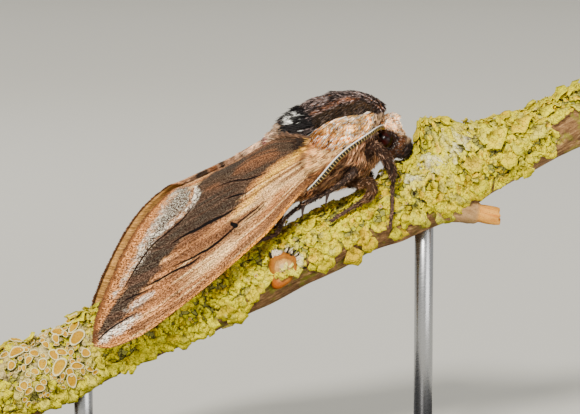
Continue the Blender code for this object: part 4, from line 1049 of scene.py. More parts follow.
def makeLichen(look):
    # lobes: scalloped fans lying over the bark, each heading out from the middle of its own rosette
    chance = np.random.default_rng(lichen["seed"])
    count = lichen["lobes"]
    middles = np.column_stack([chance.uniform(perch["back"], perch["front"], lichen["rosettes"]),
                               chance.uniform(-125, 125, lichen["rosettes"])])
    u = chance.uniform(perch["back"] + 0.8, perch["front"] - 0.8, count * 3)
    degrees = chance.uniform(-145, 145, count * 3)
    more, lowU, highU, within = lichen["onBurl"]
    u[-more:], degrees[-more:] = chance.uniform(lowU, highU, more), chance.uniform(-within, within, more)
    u, degrees, count = u[::-1], degrees[::-1], count + more
    grows = covered(u, degrees) > chance.uniform(0.25, 0.7, len(u))
    u, degrees = u[grows][:count], degrees[grows][:count]
    count = len(u)
    away = np.stack([u[:, None] - middles[None, :, 0], np.radians(degrees[:, None] - middles[None, :, 1])
                     * 5.5], -1)
    reach = np.linalg.norm(away, axis=2)
    nearest = reach.argmin(1)
    away, reach = away[np.arange(count), nearest], reach.min(1)
    heading = np.arctan2(away[:, 1], away[:, 0]) + chance.normal(0, 0.55, count)
    atEdge = smoothStep(0.95, 0.5, covered(u, degrees + 14 * np.sign(degrees)))
    down = np.where(degrees > 0, math.pi / 2, -math.pi / 2) + chance.normal(0, 0.5, count)
    heading = np.where(chance.uniform(0, 1, count) < atEdge, down, heading)
    outer = smoothStep(0.3, 3.0, reach)
    low, high = lichen["length"]
    size = low + (high - low) * chance.beta(1.3, 3.6, count) * (0.6 + 0.6 * outer) + 0.45 * atEdge
    fans = np.array(lichen["fans"])
    u[:len(fans)], degrees[:len(fans)], size[:len(fans)] = fans[:, 0], fans[:, 1], fans[:, 2]
    heading[:len(fans)] = np.radians(fans[:, 3])
    feet = nearFeet(u, degrees)
    quiet = smoothStep(1.2, 3.2, feet)
    burl = np.exp(-((u - 25) / 5) ** 2) * smoothStep(70, 20, np.abs(degrees))
    start = (0.1 + 0.5 * chance.uniform(0, 1, count) ** 1.3) * (0.35 + 0.65 * quiet)
    start[:len(fans)] = 0.62
    lift = (0.08 + 0.7 * chance.uniform(0, 1, count) ** 3 * (1.2 - outer) + 0.35 * burl
            * chance.uniform(0, 1, count))
    lift *= (0.25 + 0.75 * quiet) * size * 0.6
    lift[:len(fans)] = np.where(np.abs(fans[:, 1]) < 15, 0.6, 0.12)
    curl = chance.normal(0.08, 0.14, count) * size * (0.3 + 0.7 * quiet)
    half, scallops = chance.uniform(0.55, 1.15, count), chance.uniform(6, 11, count)
    phase, folds, foldPhase = chance.uniform(0, 6.3, (3, count))

    r = np.array([0.15, 0.7, 1.0])[None, :, None]
    a = np.linspace(-1, 1, lichen["grid"][1])[None, None, :]
    def each(values):
        return values[:, None, None]
    angle = a * each(half)
    reachOut = each(size) * (1 + 0.1 * np.cos(angle * each(scallops) + each(phase))) * (1 - 0.16 * a ** 4)
    along, across = reachOut * r * np.cos(angle), reachOut * r * np.sin(angle)
    waves = 0.6 + 0.4 * np.cos(2 * angle)
    height = each(start) + each(lift) * r ** 1.7 + each(curl) * smoothStep(0.6, 1.0, r) * waves
    height = height + 0.1 * each(size) * r * np.sin(angle * (3 + 0.5 * each(folds)) + each(foldPhase))
    height = np.maximum(height, 0.1) + 0 * along
    slope = (perchRadius(u + 0.3, degrees) - perchRadius(u - 0.3, degrees)) / 0.6
    squeeze = each(1 / np.sqrt(1 + slope ** 2))
    lobeU = each(u) + (along * np.cos(each(heading)) - across * np.sin(each(heading))) * squeeze
    turned = each(degrees) + np.degrees((along * np.sin(each(heading)) + across * np.cos(each(heading)))
                                        / 5.4)
    lobeU = np.clip(lobeU, perch["back"] + 0.2, perch["front"] - 0.2)
    top = onBranch(lobeU, turned, height)
    under = onBranch(lobeU, turned, height - lichen["thickness"] * (1.3 - 0.6 * r))
    rows, columns = r.shape[1], a.shape[2]
    points = np.concatenate([top.reshape(count, -1, 3), under.reshape(count, -1, 3)], 1)

    tones = lichen["tones"]
    kind = chance.uniform(0, 1, count)
    regional = layeredNoise(np.column_stack([u * 0.22, degrees * 0.03, 0 * u]), 1.0, 2, 71)
    lobeTone = blendTones(tones["yellow"],
                          [((kind < 0.3) * 0.8, tones["pale"]), ((kind > 0.8) * 0.9, tones["grey"]),
                           ((kind > 0.35) * (kind < 0.5) * 0.8, tones["gold"]),
                           (np.clip(0.8 * regional - 0.15, 0, 0.7), tones["pale"])])
    cluster = (smoothStep(3.0, 0.0, np.abs(u + 45.0) - 6.5)
               * smoothStep(0, 25, degrees) * smoothStep(130, 105, degrees))
    lobeTone = blendTones(lobeTone, [(0.85 * cluster * (kind > 0.25), tones["crust"])])
    ridge = (np.exp(-((degrees - 52 + 1.5 * (u - 25)) / 9) ** 2)
             * smoothStep(17, 19, u) * smoothStep(33, 30, u))
    torn = np.exp(-(((u + 3.6) / 2.0) ** 2 + ((degrees - 80) / 9) ** 2))
    lobeTone = blendTones(lobeTone, [(0.8 * ridge, tones["white"]), (0.95 * torn, tones["white"])])
    # painted light: lobes low on the branch's rear part are laid paler, lifting the shade they sit in on its
    # lower side
    paintedLightLowRear = smoothStep(60, 100, degrees) * smoothStep(-8, -20, u)
    lobeTone = blendTones(lobeTone, [(0.5 * paintedLightLowRear, tones["pale"])])
    lobeTone = lobeTone * chance.uniform(0.78, 1.14, count)[:, None]
    rim = smoothStep(0.7, 1.0, r) + 0 * a
    # painted shade: each lobe darkens towards its root, where the lobes over it shade it
    root = smoothStep(0.6, 0.1, r) + 0 * a
    upper = lobeTone[:, None, None, :] * (1 - 0.86 * root[..., None])
    upper = upper + (0.5 * rim[..., None] * (tones["rim"] - upper)
                     * (1 - each(np.maximum(torn, cluster * 0.7)))[..., None])
    lower = 0 * upper + tones["under"] * 0.8
    growth = np.concatenate([upper.reshape(count, -1, 3), lower.reshape(count, -1, 3)], 1)

    bounds = (perch["back"], -29.0, 0.0, 26.0, perch["front"] + 1)
    names = ("lichen_rear", "lichen_middle", "lichen_front", "lichen_end")
    for name, low, high in zip(names, bounds[:-1], bounds[1:]):
        chosen = (u >= low) & (u < high)
        faces = repeated(plateFaces(rows, columns), 2 * rows * columns, chosen.sum())
        obj = makePiece(name, points[chosen].reshape(-1, 3), faces, look,
                        {"growth": growth[chosen].reshape(-1, 3)})
        settle(obj, "bark")


def makeCups(look):
    # each disc turns a profile about the bark's own outward line, pressed a little oval by its neighbours
    chance = np.random.default_rng(cups["seed"])
    (lowU, highU), (lowD, highD), clustered = cups["cluster"]
    low, high = cups["radius"]
    places = []
    for u, degrees in zip(chance.uniform(lowU, highU, cups["draws"]),
                          chance.uniform(lowD, highD, cups["draws"])):
        radius = low + (high - low) * chance.beta(0.9, 2.0)
        gaps = [math.hypot(u - other[0], math.radians(degrees - other[1]) * 5.6) - 0.82 * (radius + other[2])
                for other in places]
        if len(places) < clustered and all(gap > 0 for gap in gaps):
            places.append((u, degrees, radius, 1.0))
    for _ in range(cups["scattered"]):
        u, degrees = chance.uniform(perch["back"] + 2, perch["front"] - 2), chance.uniform(-110, 110)
        here = np.array([u]), np.array([degrees])
        if nearFeet(*here)[0] > 2.0 and covered(*here)[0] > 0.6:
            places.append((u, degrees, chance.uniform(0.16, 0.34), 0.0))
    table = np.array(places)
    count, around = len(table), cups["around"]
    profile = np.array(cups["profile"])
    stretch = 1 + (chance.uniform(0.0, 0.45, count) * table[:, 3])
    turn = chance.uniform(0, math.pi, count)
    angle = turns(around)[None, None, :]
    wobble = (1 + 0.07 * np.sin(3 * angle + turn[:, None, None])
              + 0.05 * np.sin(2 * angle + 3 * turn[:, None, None]))
    reach = table[:, 2][:, None, None] * profile[None, :, 0, None] * wobble
    x, y = (reach * np.cos(angle) * stretch[:, None, None],
            reach * np.sin(angle) / np.sqrt(stretch)[:, None, None])
    cos, sin = np.cos(turn)[:, None, None], np.sin(turn)[:, None, None]
    du, arc = x * cos - y * sin, x * sin + y * cos
    rise = 0.45 + 0.2 * table[:, 3]
    height = rise[:, None, None] + table[:, 2][:, None, None] * profile[None, :, 1, None] * 0.8 + 0 * angle
    rings = onBranch(table[:, 0][:, None, None] + du, table[:, 1][:, None, None] + np.degrees(arc / 5.6),
                     height)
    levels = profile.shape[0]
    middles = onBranch(table[:, 0], table[:, 1], rise + table[:, 2] * 0.24)
    feet = onBranch(table[:, 0], table[:, 1], rise - table[:, 2] * 0.5)
    points = np.concatenate([rings.reshape(count, -1, 3), feet[:, None], middles[:, None]], 1)
    each = levels * around + 2
    faces = [repeated(part, each, count) for part in tubeFaces(levels, around, levels * around,
                                                               levels * around + 1)]
    tones = cups["tones"]
    disc = np.clip(profile[:, 2], 0, 1)[None, :, None] + 0 * wobble
    shade = chance.uniform(0, 1, count)
    discTone = tones["disc"] + shade[:, None] * 0.6 * (tones["deep"] - tones["disc"])
    growth = tones["rim"] + disc[..., None] * (discTone[:, None, None, :] - tones["rim"])
    growth = np.concatenate([growth.reshape(count, -1, 3), np.tile(tones["rim"], (count, 1, 1)),
                             discTone[:, None]], 1)
    settle(makePiece("lichen_cups", points.reshape(-1, 3), faces, look, {"growth": growth.reshape(-1, 3)}),
           "bark")


def makeKnot(look):
    # a profile turned about the bark's outward line: a rolled ring of callus round a shallow dish
    u, degrees = knot["place"]
    around, profile = knot["around"], np.array(knot["profile"])
    centre = onBranch(u, degrees, 0.0, perchRadius)
    out = onBranch(u, degrees, 1.0, perchRadius) - centre
    across, over = np.array([1.0, 0, 0]), np.cross(out, (1.0, 0, 0))
    angle = turns(around)
    heading, spread, reach = knot["flap"]
    torn = np.exp(-((np.degrees(angle) - heading) / spread) ** 2)
    rough = 1 + 0.06 * np.sin(3 * angle + 1) + 0.04 * np.sin(7 * angle) + reach * torn
    ring = np.cos(angle)[:, None] * across + np.sin(angle)[:, None] * over * 1.08
    points = (centre + knot["radius"] * (profile[:, 0, None] * rough)[..., None] * ring
              + profile[:, 1, None, None] * out)
    points = points + 0.1 * layeredNoise(points, 0.7, 2, 81)[..., None] * out
    points = np.concatenate([points.reshape(-1, 3), [centre - out, centre + 0.42 * out]])
    share = np.append(np.repeat(profile[:, 0], around), (1.2, 0.0))
    tones = knot["tones"]
    growth = blendTones(tones["ring"],
                        [(smoothStep(0.9, 0.66, share), tones["dish"]),
                         (smoothStep(0.5, 0.2, share), tones["middle"])])
    growth = blendTones(growth, [(np.append(np.tile(torn, len(profile)), (0, 0))
                                  * smoothStep(0.5, 0.9, share),
                                  tones["flap"])])
    growth = growth * (0.85 + 0.2 * layeredNoise(points, 0.5, 2, 83))[:, None]
    faces = tubeFaces(len(profile), around, len(points) - 2, len(points) - 1)
    settle(makePiece("perch_knot", points, faces, look, {"growth": growth}), "bark")

    # splinters of pale wood standing round the knot's upper edge, some of them painted near black as the
    # shade of the crevices between them
    chance = np.random.default_rng(9)
    number, low, high = knot["splinters"]
    turn = np.radians(chance.uniform(low, high, number))
    away = np.cos(turn)[:, None] * across + np.sin(turn)[:, None] * over
    root = centre + away * (knot["radius"] * chance.uniform(1.0, 1.45, number))[:, None]
    blades = growTufts(root, out + 0 * root, away, (1, 1.15, 0.55, 13, 0.3, 1.3), chance)
    # painted shade: about a third of the splinters are near black, for the crevices between them
    pale = blendTones(tones["splinter"], [((chance.uniform(0, 1, number) < 0.35) * 1.0,
                                                                tones["creviceShade"])])
    growth = np.repeat(pale, 7, axis=0)
    settle(makePiece("perch_splinters", blades.reshape(-1, 3), tuftFaces(number), look, {"growth": growth}),
           "bark")


def makeStub(look):
    # a round rod whose bark stops short of its torn end
    root, tip = np.array(stub["root"]), np.array(stub["tip"])
    ahead = tip - root
    side = np.cross(ahead, (0, 1.0, 0))
    side /= np.linalg.norm(side)
    over = np.cross(side, ahead)
    over /= np.linalg.norm(over)
    angle = turns(stub["around"])
    ring = np.cos(angle)[:, None] * side + np.sin(angle)[:, None] * over
    profile = np.array(stub["profile"])
    points = root + profile[:, 0, None, None] * ahead + stub["radius"] * profile[:, 1, None, None] * ring
    rough = layeredNoise(points * (0.4, 1.5, 1.5), 0.8, 3, 91)
    points = points + (0.1 + 0.05 * profile[:, 2])[:, None, None] * rough[..., None] * ring
    torn = profile[:, 2][:, None] * smoothStep(0.9, 1.0, profile[:, 0])[:, None]
    points = points + (torn * 0.35 * layeredNoise(ring[None] + profile[:, :1, None], 0.45, 2, 95))[...,
            None] * ahead / 9
    points = np.concatenate([points.reshape(-1, 3), [root, tip - 0.02 * ahead]])
    wood = np.append(np.repeat(profile[:, 2], len(angle)), (0, 1))
    grain = layeredNoise(points @ np.column_stack([ahead / 40, side * 2.0, over * 2.0]), 0.5, 2, 97)
    growth = blendTones(perch["tones"]["bark"] * 0.8,
                        [(np.clip(0.5 + barkPatches(points), 0, 0.6), perch["tones"]["pale"]),
                         (wood, stub["tones"]["wood"]), (wood * np.clip(grain, 0, 0.8),
                                                         stub["tones"]["grain"])])
    faces = tubeFaces(len(profile), len(angle), len(points) - 2, len(points) - 1)
    settle(makePiece("perch_stub", points, faces, look, {"growth": growth}), "bark")


def barkPatches(points):
    return 0.5 * layeredNoise(points * (0.3, 1.4, 1.4), 0.7, 2, 99)


legs = {   # (u, outward, w, radius) down each leg, then (u, degrees round the branch, radius) along its foot
    "fore": {"path": ((13.6, 3.0, 1.9, 0.9), (14.8, 5.0, 3.6, 1.0), (15.7, 6.2, 3.9, 0.95),
                      (16.5, 6.5, 2.0, 1.0),
                      (16.8, 6.5, -0.4, 0.85), (16.2, 6.5, -2.0, 0.5)),
             "foot": ((15.4, 62, 0.36), (14.5, 80, 0.34), (13.5, 97, 0.32), (12.8, 110, 0.28))},
    "mid": {"path": ((9.4, 2.4, 0.0, 0.7), (11.2, 4.1, -0.65, 0.8), (12.8, 5.5, -1.2, 0.95),
                     (12.3, 5.9, -2.5, 0.9),
                     (10.8, 5.7, -3.2, 0.55)),
            "foot": ((9.2, 55, 0.36), (7.6, 56, 0.34), (5.8, 58, 0.31), (4.8, 60, 0.28))},
    "hind": {"path": ((9.0, 3.4, 1.5, 0.7), (11.2, 5.5, 1.7, 0.72), (9.4, 5.9, 1.0, 0.6),
                      (6.7, 5.6, 0.5, 0.5),
                      (4.0, 5.2, 0.35, 0.45), (1.3, 4.9, 0.1, 0.42), (-1.4, 4.6, -0.6, 0.38)),
             "foot": ((-3.8, 37, 0.34), (-5.8, 35, 0.32), (-7.6, 34, 0.3), (-8.8, 33, 0.27))},
    "footLift": 0.34,
}

lichenFinish = lichenLook()
makeBark(barkLook())
makeLichen(lichenFinish)
makeCups(lichenLook("lichen_cups", 0.55, 0.15))
makeKnot(lichenLook("knot_wood", 0.75, 0.2))
makeStub(lichenLook("stub_wood", 0.8, 0.1))
print("branch, lichen, cups, knot and stub grown")


# Body: one skin under the coat, its shape lofted through the same stations as the solids and drawn
# in from them

body = {
    # stations of (u, half width, top, bottom, height of the widest line)
    "thorax": {"stations": ((1.35, 3.8, 12.0, 0.5, 4.9), (3.1, 4.4, 12.4, 0.1, 5.1),
                            (5.2, 4.9, 13.2, -0.2, 5.4),
                            (7.3, 5.4, 13.95, -0.5, 5.7), (10.0, 5.9, 14.4, -0.6, 6.1),
                            (13.4, 6.0, 14.1, -0.2, 6.4),
                            (15.6, 5.6, 13.4, 0.8, 6.6), (16.6, 5.2, 12.9, 2.8, 6.9),
                            (17.4, 4.7, 12.4, 5.0, 7.6),
                            (18.7, 3.9, 11.4, 6.1, 8.2), (19.7, 2.9, 10.0, 6.9, 8.3),
                            (20.2, 1.7, 9.1, 7.4, 8.2)),
               "inset": 0.55, "back": (0.9, 0.0, 6.0), "front": (20.1, 0.0, 8.15), "grid": (80, 96)},
    "head": {"stations": ((16.7, 1.5, 5.0, 1.4, 3.3), (17.4, 2.2, 5.9, 0.4, 3.3), (18.4, 2.7, 6.5, -0.1, 3.4),
                          (19.5, 2.75, 6.8, 0.0, 3.5), (20.6, 2.4, 6.65, 0.9, 3.7),
                          (21.3, 1.8, 6.2, 1.9, 3.9)),
             "inset": 0.3, "back": (16.3, 0.0, 3.2), "front": (21.5, 0.0, 4.2), "grid": (50, 72)},
    "abdomen": {"stations": ((2.2, 3.6, 8.4, 0.8, 4.6), (1.03, 3.7, 8.5, 0.7, 4.6),
                             (-3.0, 4.0, 8.7, 0.5, 4.6),
                             (-9.0, 3.8, 8.4, 0.8, 4.6), (-14.0, 2.9, 7.4, 1.8, 4.6),
                             (-18.0, 1.7, 6.2, 3.1, 4.65),
                             (-20.0, 0.8, 5.4, 4.0, 4.7)),
                "inset": 0.28, "back": (-20.4, 0.0, 4.7), "front": (2.4, 0.0, 4.6), "grid": (120, 72),
                "rings": 8, "crease": 0.05},
    "tegula": {"centre": (12.7, 14.0), "length": 10.4, "spread": 15.0, "lift": 0.15, "thickness": 0.5,
               "inset": 0.55},
    "palp": ((18.6, 1.05, 0.65, 0.5), (19.7, 1.1, 0.15, 0.68), (20.8, 1.05, 0.65, 0.68),
             (21.5, 0.95, 1.8, 0.38)),
    "palpInset": 0.17,
    "voxel": 0.17,                      # size of the net that joins the parts into one skin
    "smoothing": 6,
}
eye = {"centre": (17.95, 2.45, 3.78), "radius": 1.33, "around": 96, "rings": 64,
       "tones": {"ball": tone(10, 4, 3), "shimmer": tone(44, 15, 9)}}


def loftGrid(part):
    # ovals round the body, wider above or below their widest line, drawn in by the coat's depth
    rows, around = part["grid"]
    stations = part["stations"]
    places = np.linspace(stations[0][0], stations[-1][0], rows)
    half, top, bottom, waist = valuesAlong(stations, places).T
    half, top, bottom = half - part["inset"], top - part["inset"], bottom + part["inset"]
    if "rings" in part:
        share = (places - places.min()) / (places.max() - places.min()) * part["rings"] % 1.0
        swell = 1 - part["crease"] * np.exp(-(np.minimum(share, 1 - share) / 0.09) ** 2)
    else:
        swell = np.ones(rows)
    angle = turns(around)
    reach = np.where(np.sin(angle) > 0, (top - waist)[:, None], (waist - bottom)[:, None])
    across = np.cos(angle) * (half * swell)[:, None]
    up = waist[:, None] + np.sin(angle) * reach * swell[:, None]
    return np.stack([np.repeat(places[:, None], around, 1), across, up], -1)


def flankPoint(u, degrees, side, lift):
    # a place on the flank of the thorax, degrees above its widest line, and a lift out along its normal
    def surface(place, turn):
        half, top, _, waist = valuesAlong(body["thorax"]["stations"],
                                          place.ravel()).T.reshape((4,) + place.shape)
        return np.stack([place, side * half * np.cos(turn), waist + (top - waist) * np.sin(turn)], -1)

    u, turn = np.asarray(u, float), np.radians(degrees)
    here = surface(u, turn)
    normal = side * np.cross(surface(u, turn + 0.01) - here, surface(u + 0.01, turn) - here)
    return here + unit(normal) * np.asarray(lift)[..., None]


def tegulaGrid(side, thick=True):
    # a leaf: its width falls off as an ellipse towards both ends, laid over the flank and thinner at its rim
    made = body["tegula"]
    t, s = np.meshgrid(np.linspace(-0.985, 0.985, 60), np.linspace(-1, 1, 34), indexing="ij")
    width = made["spread"] * np.sqrt(1 - t * t) + 0.6
    lift = made["lift"] + (made["thickness"] * (1 - 0.75 * s ** 2) * (1 - 0.5 * t ** 4) if thick else 0 * s)
    place = made["centre"][0] + t * made["length"] / 2
    return flankPoint(place, made["centre"][1] - 5.0 * t + s * width, side,
                      lift - (0 if thick else made["inset"]))


def tubeRings(curve, around, squash=1.0):
    # round rings along a line of (u, y, w, radius), each square to the line there
    centres, radii = curve[:, :3], curve[:, 3]
    ahead = unit(np.gradient(centres, axis=0))
    side = unit(np.cross(ahead, (0.0, 0.0, 1.0)))
    over = np.cross(side, ahead)
    angle = turns(around)[None, :, None]
    ring = np.cos(angle) * side[:, None] * squash + np.sin(angle) * over[:, None]
    return centres[:, None] + ring * radii[:, None, None], ring


def closedTube(rings, start, end):
    rows, around = rings.shape[:2]
    points = np.concatenate([rings.reshape(-1, 3), [start, end]])
    return points, tubeFaces(rows, around, rows * around, rows * around + 1)


def palpCurve(side, inset):
    table = np.array(body["palp"]) * (1, side, 1, 1) - (0, 0, 0, inset)
    return curveThrough(table, 40)


def rawMesh(name, points, faceSets):
    return makePiece(name, points, faceSets, bpy.data.materials[0])


def makeSkin(look):
    # the parts as closed shapes, joined by a fine net of even mesh and smoothed where they meet
    parts = []
    for title in ("thorax", "head", "abdomen"):
        part = body[title]
        grid = loftGrid(part)
        ends = (part["back"], part["front"]) if grid[0, 0, 0] < grid[-1, 0, 0] else (part["front"],
                part["back"])
        parts.append(rawMesh(title, *closedTube(grid, *ends)))
    for side in sides:
        outer, inner = tegulaGrid(side), tegulaGrid(side, False)
        points = np.concatenate([outer.reshape(-1, 3), inner.reshape(-1, 3)])
        parts.append(rawMesh("flap", points, plateFaces(*outer.shape[:2])))
        curve = palpCurve(side, body["palpInset"])
        rings, _ = tubeRings(curve, 24)
        tip = curve[-1, :3] + (curve[-1, :3] - curve[-2, :3]) * 1.5
        parts.append(rawMesh("palp", *closedTube(rings, curve[0, :3], tip)))
    joined = joinedMesh(parts)
    net = joined.modifiers.new("net", "REMESH")
    net.mode, net.voxel_size = "VOXEL", body["voxel"] * moth["mm"]
    ease = joined.modifiers.new("ease", "SMOOTH")
    ease.factor, ease.iterations = 0.5, body["smoothing"]
    bpy.context.view_layer.update()
    shape = bpy.data.meshes.new_from_object(joined.evaluated_get(bpy.context.evaluated_depsgraph_get()))
    bpy.data.objects.remove(joined, do_unlink=True)
    points = np.empty(len(shape.vertices) * 3, np.float32)
    shape.vertices.foreach_get("co", points)
    points = fromRow(points.reshape(-1, 3))
    shape.materials.clear()
    shape.materials.append(look)
    shape.shade_smooth()
    shape.name = "skin"
    paint(shape, "coat", coatTones(points) * 0.8)
    skin = bpy.data.objects.new("skin", shape)
    bpy.context.scene.collection.objects.link(skin)
    return settle(skin, "thorax_fur", "thorax", "head", "abdomen",
                  *(f"{part}_{word}" for part in ("tegula", "palp")
                                                                    for word in sides.values()))


def joinedMesh(parts):
    # one object from several, by laying their meshes end to end
    points, faces, start = [], [], 0
    for obj in parts:
        mesh = obj.data
        flat = np.empty(len(mesh.vertices) * 3, np.float32)
        mesh.vertices.foreach_get("co", flat)
        points.append(flat.reshape(-1, 3))
        mesh.calc_loop_triangles()
        corners = np.empty(len(mesh.loop_triangles) * 3, np.int32)
        mesh.loop_triangles.foreach_get("vertices", corners)
        faces.append(corners.reshape(-1, 3) + start)
        start += len(points[-1])
        bpy.data.objects.remove(obj, do_unlink=True)
    return makePiece("joined", fromRow(np.concatenate(points)), np.concatenate(faces), bpy.data.materials[0])


# Where the body's colours lie, as outlines and lines in the side view (u, w), and their tones
coatMarks = {
    "flank": ((9.4, 12.2), (11.0, 12.1), (13.0, 12.1), (15.2, 11.7), (17.2, 11.0), (18.7, 9.9), (19.0, 7.8),
              (17.5, 8.7), (15.4, 9.5), (14.3, 9.1), (12.5, 9.7), (10.6, 9.8), (9.0, 9.7), (8.0, 10.6)),
    "rust": ((9.2, 12.5, 0.25), (10.8, 12.4, 0.3), (12.4, 12.5, 0.3), (14.0, 12.4, 0.3), (15.4, 12.1, 0.3),
             (16.9, 11.4, 0.2)),
    "rearTuft": ((3.4, 11.9), (5.0, 13.8), (7.2, 14.8), (8.7, 13.6), (8.6, 10.7), (6.3, 10.9)),
    "spots": ((5.6, 12.9, 0.85), (6.9, 13.3, 0.5)),
    "ridge": ((-0.3, 11.0), (1.7, 12.4), (3.6, 13.4), (4.4, 12.4), (3.4, 11.0), (1.0, 10.0)),
    "collar": ((18.2, 11.6), (19.3, 10.9), (20.6, 7.9), (19.4, 6.7), (18.2, 9.2)),
    "headTop": ((18.9, 7.4), (21.1, 7.2), (22.6, 5.2), (21.6, 2.6), (20.4, 3.4), (19.7, 4.6), (18.6, 5.3),
                (17.0, 5.6),
                (17.0, 7.0)),
    "nape": ((16.9, 8.6), (18.6, 7.9), (20.2, 7.2), (19.8, 6.0), (17.4, 5.6), (16.6, 7.0)),
    "eyeShade": ((15.6, 4.9), (16.9, 5.3), (18.6, 5.1), (19.8, 4.3), (20.3, 3.0), (19.2, 1.6), (17.0, 1.8),
                 (15.9, 3.0)),
    "tones": {
        "back": tone(70, 60, 57), "hair": tone(166, 150, 146), "rust": tone(132, 92, 72),
        "flank": tone(48, 37, 27),
        "black": tone(20, 17, 18), "white": tone(255, 250, 246), "ridge": tone(248, 214, 188),
        "collar": tone(38, 27, 21), "head": tone(246, 208, 174), "shade": tone(38, 24, 18),
        "face": tone(86, 58, 44),
        "under": tone(174, 122, 92), "underPale": tone(236, 194, 162), "palp": tone(28, 18, 14),
        "tegula": tone(246, 200, 150), "tegulaTop": tone(248, 216, 184), "tegulaWarm": tone(184, 116, 72),
        "rose": tone(206, 130, 130), "band": tone(38, 30, 32), "stripe": tone(128, 108, 98),
        "shadow": tone(30, 22, 20),
    },
}


def coatTones(points, part=None):
    # the body's markings as one function of place, which the skin and the coat both read
    u, y, w = points.T
    side = np.column_stack([u, w])
    c = coatMarks["tones"]
    streak = layeredNoise(points * (0.35, 1.5, 1.5), 1.0, 2, 121)
    cells = latticeNoise(points, 0.35, 125)
    made = blendTones(c["back"], [(np.clip(0.9 * cells + 0.05 + 0.5 * streak, 0, 0.85), c["hair"]),
                             (np.clip(-0.9 * cells + 0.1, 0, 0.7), c["black"])])
    low = smoothStep(6.0, 4.0, w)
    made = blendTones(made, [(low, c["under"]), (low * np.clip(0.5 + 0.5 * streak, 0, 1) * 0.8,
                                                 c["underPale"])])
    made = blendTones(made, [(field(side, coatMarks["flank"], 0.25), c["flank"])])
    made = blendTones(made, [(stroke(side, coatMarks["rust"], 0.2) * 0.85, c["rust"])])
    made = blendTones(made, [(field(side, coatMarks["ridge"], 0.35) * 0.85, c["ridge"])])
    made = blendTones(made, [(field(side + cells[:, None] * 0.15, coatMarks["rearTuft"], 0.25), c["black"])])
    for spotU, spotW, size in coatMarks["spots"]:
        made = blendTones(made, [(smoothStep(size, size * 0.5, np.hypot(u - spotU, w - spotW)), c["white"])])
    made = blendTones(made, [(field(side, coatMarks["collar"], 0.25) * (u > 17.5), c["collar"])])
    fleck = field(side, coatMarks["collar"], 0.25) * smoothStep(0.45, 0.7, np.abs(cells))
    made = blendTones(made, [(fleck * (cells > 0) * 0.8, c["hair"]), (fleck * (cells < 0) * 0.8, c["rust"])])
    made = blendTones(made, [(field(side, coatMarks["nape"], 0.25) * np.clip(0.85 + 0.5 * cells, 0, 1),
                              c["head"])])
    ahead = smoothStep(17.2, 18.0, u) * smoothStep(7.5, 6.9, w)
    made = blendTones(made, [(ahead, c["face"]), (field(side, coatMarks["headTop"], 0.3) * ahead, c["head"])])
    outward = smoothStep(1.0, 1.9, np.abs(y))
    made = blendTones(made, [(field(side, coatMarks["eyeShade"], 0.25) * outward * (u > 15.5), c["shade"])])
    behind = smoothStep(1.4, 0.8, u)
    rear, front = body["abdomen"]["stations"][-1][0], body["abdomen"]["stations"][1][0]
    segment = ((u - rear) / (front - rear) * body["abdomen"]["rings"]) % 1.0
    bands = smoothStep(0.42, 0.5, segment) * smoothStep(1.5, 2.2, np.abs(y)) * smoothStep(2.2, 3.2, w)
    made = blendTones(made, [(behind, c["rose"]), (behind * bands, c["band"]),
                             (behind * smoothStep(1.6, 0.9, np.abs(y)) * (w > 4.6), c["stripe"]),
                             (behind * smoothStep(2.8, 1.8, w), c["underPale"])])
    if part is not None:
        made = part(made, points, cells, streak)
    return made


def tegulaTones(made, points, cells, streak):
    # cream, whiter along the top, with warm brown streaks towards the rear and one small dark spot
    u, _, w = points.T
    c = coatMarks["tones"]
    top = smoothStep(0.0, 1.2, w - (11.2 - 0.12 * u))
    rear = smoothStep(13.5, 8.5, u)
    pale = blendTones(c["tegula"],
                      [(top, c["tegulaTop"]), (np.clip(rear * (0.55 + 0.7 * streak), 0, 0.9),
                                               c["tegulaWarm"]),
                       (np.clip(0.5 * streak - 0.2, 0, 0.4), c["tegulaWarm"]),
                       (smoothStep(0.55, 0.25, np.hypot(u - 9.6, w - 7.6)), c["collar"])])
    return pale


def palpTones(made, points, cells, streak):
    u, _, w = points.T
    c = coatMarks["tones"]
    return blendTones(c["palp"], [(smoothStep(1.2, 2.0, w) * 0.4, c["head"]),
                                                        (np.clip(cells, 0, 1) * 0.3, c["hair"])])


def makeCoat(name, look, slot, groups):
    # one piece from groups of (points of its tufts, colours at their roots, places on the unwrapped skin)
    points, tones, places = (np.concatenate(column) for column in zip(*groups))
    count = len(points)
    along = np.array([0, 0, 0, 0.55, 0.55, 0.55, 1.0])
    # painted shade and light along each tuft: darkest at its root, where the tufts over it shade it, lighter
    # towards its tip and a little lighter along its raised ridge
    shade = np.array([0.5, 0.5, 0.62, 0.95, 0.95, 1.05, 1.15])
    made = tones[:, None] * shade[None, :, None]
    across = np.array([-0.5, 0.5, 0.0, -0.4, 0.4, 0.0, 0.0])
    spread = np.stack([(along - 0.5) * coat["patch"], across * coat["patch"]], 1)
    places = 0.01 + 0.98 * places[:, None] + spread[None]
    obj = makePiece(name, points.reshape(-1, 3), tuftFaces(count), look, {"coat": made.reshape(-1, 3)},
                    {"OFBake": places.reshape(-1, 2)})
    return settle(obj, slot)


def flecked(made, chance, shares):
    # some tufts, picked at random, take another colour: (share of them, how far, colour)
    draw, low = chance.uniform(0, 1, len(made)), 0.0
    for share, cover, shade in shares:
        made = blendTones(made, [(((draw >= low) & (draw < low + share)) * cover, shade)])
        low += share
    return made


def uneven(chance, root, much=1.0):
    # a shade for each tuft: clumps that run along the body, and a few tufts much lighter or darker
    clump = latticeNoise(root * (0.5, 1, 1), 0.36, 173) + 0.6 * latticeNoise(root * (0.5, 1, 1), 0.8, 175)
    return np.exp(np.clip(coat["contrast"] * much * (0.8 * chance.normal(0, 1, len(root)) + 1.7 * clump),
                          -1.3, 0.9))


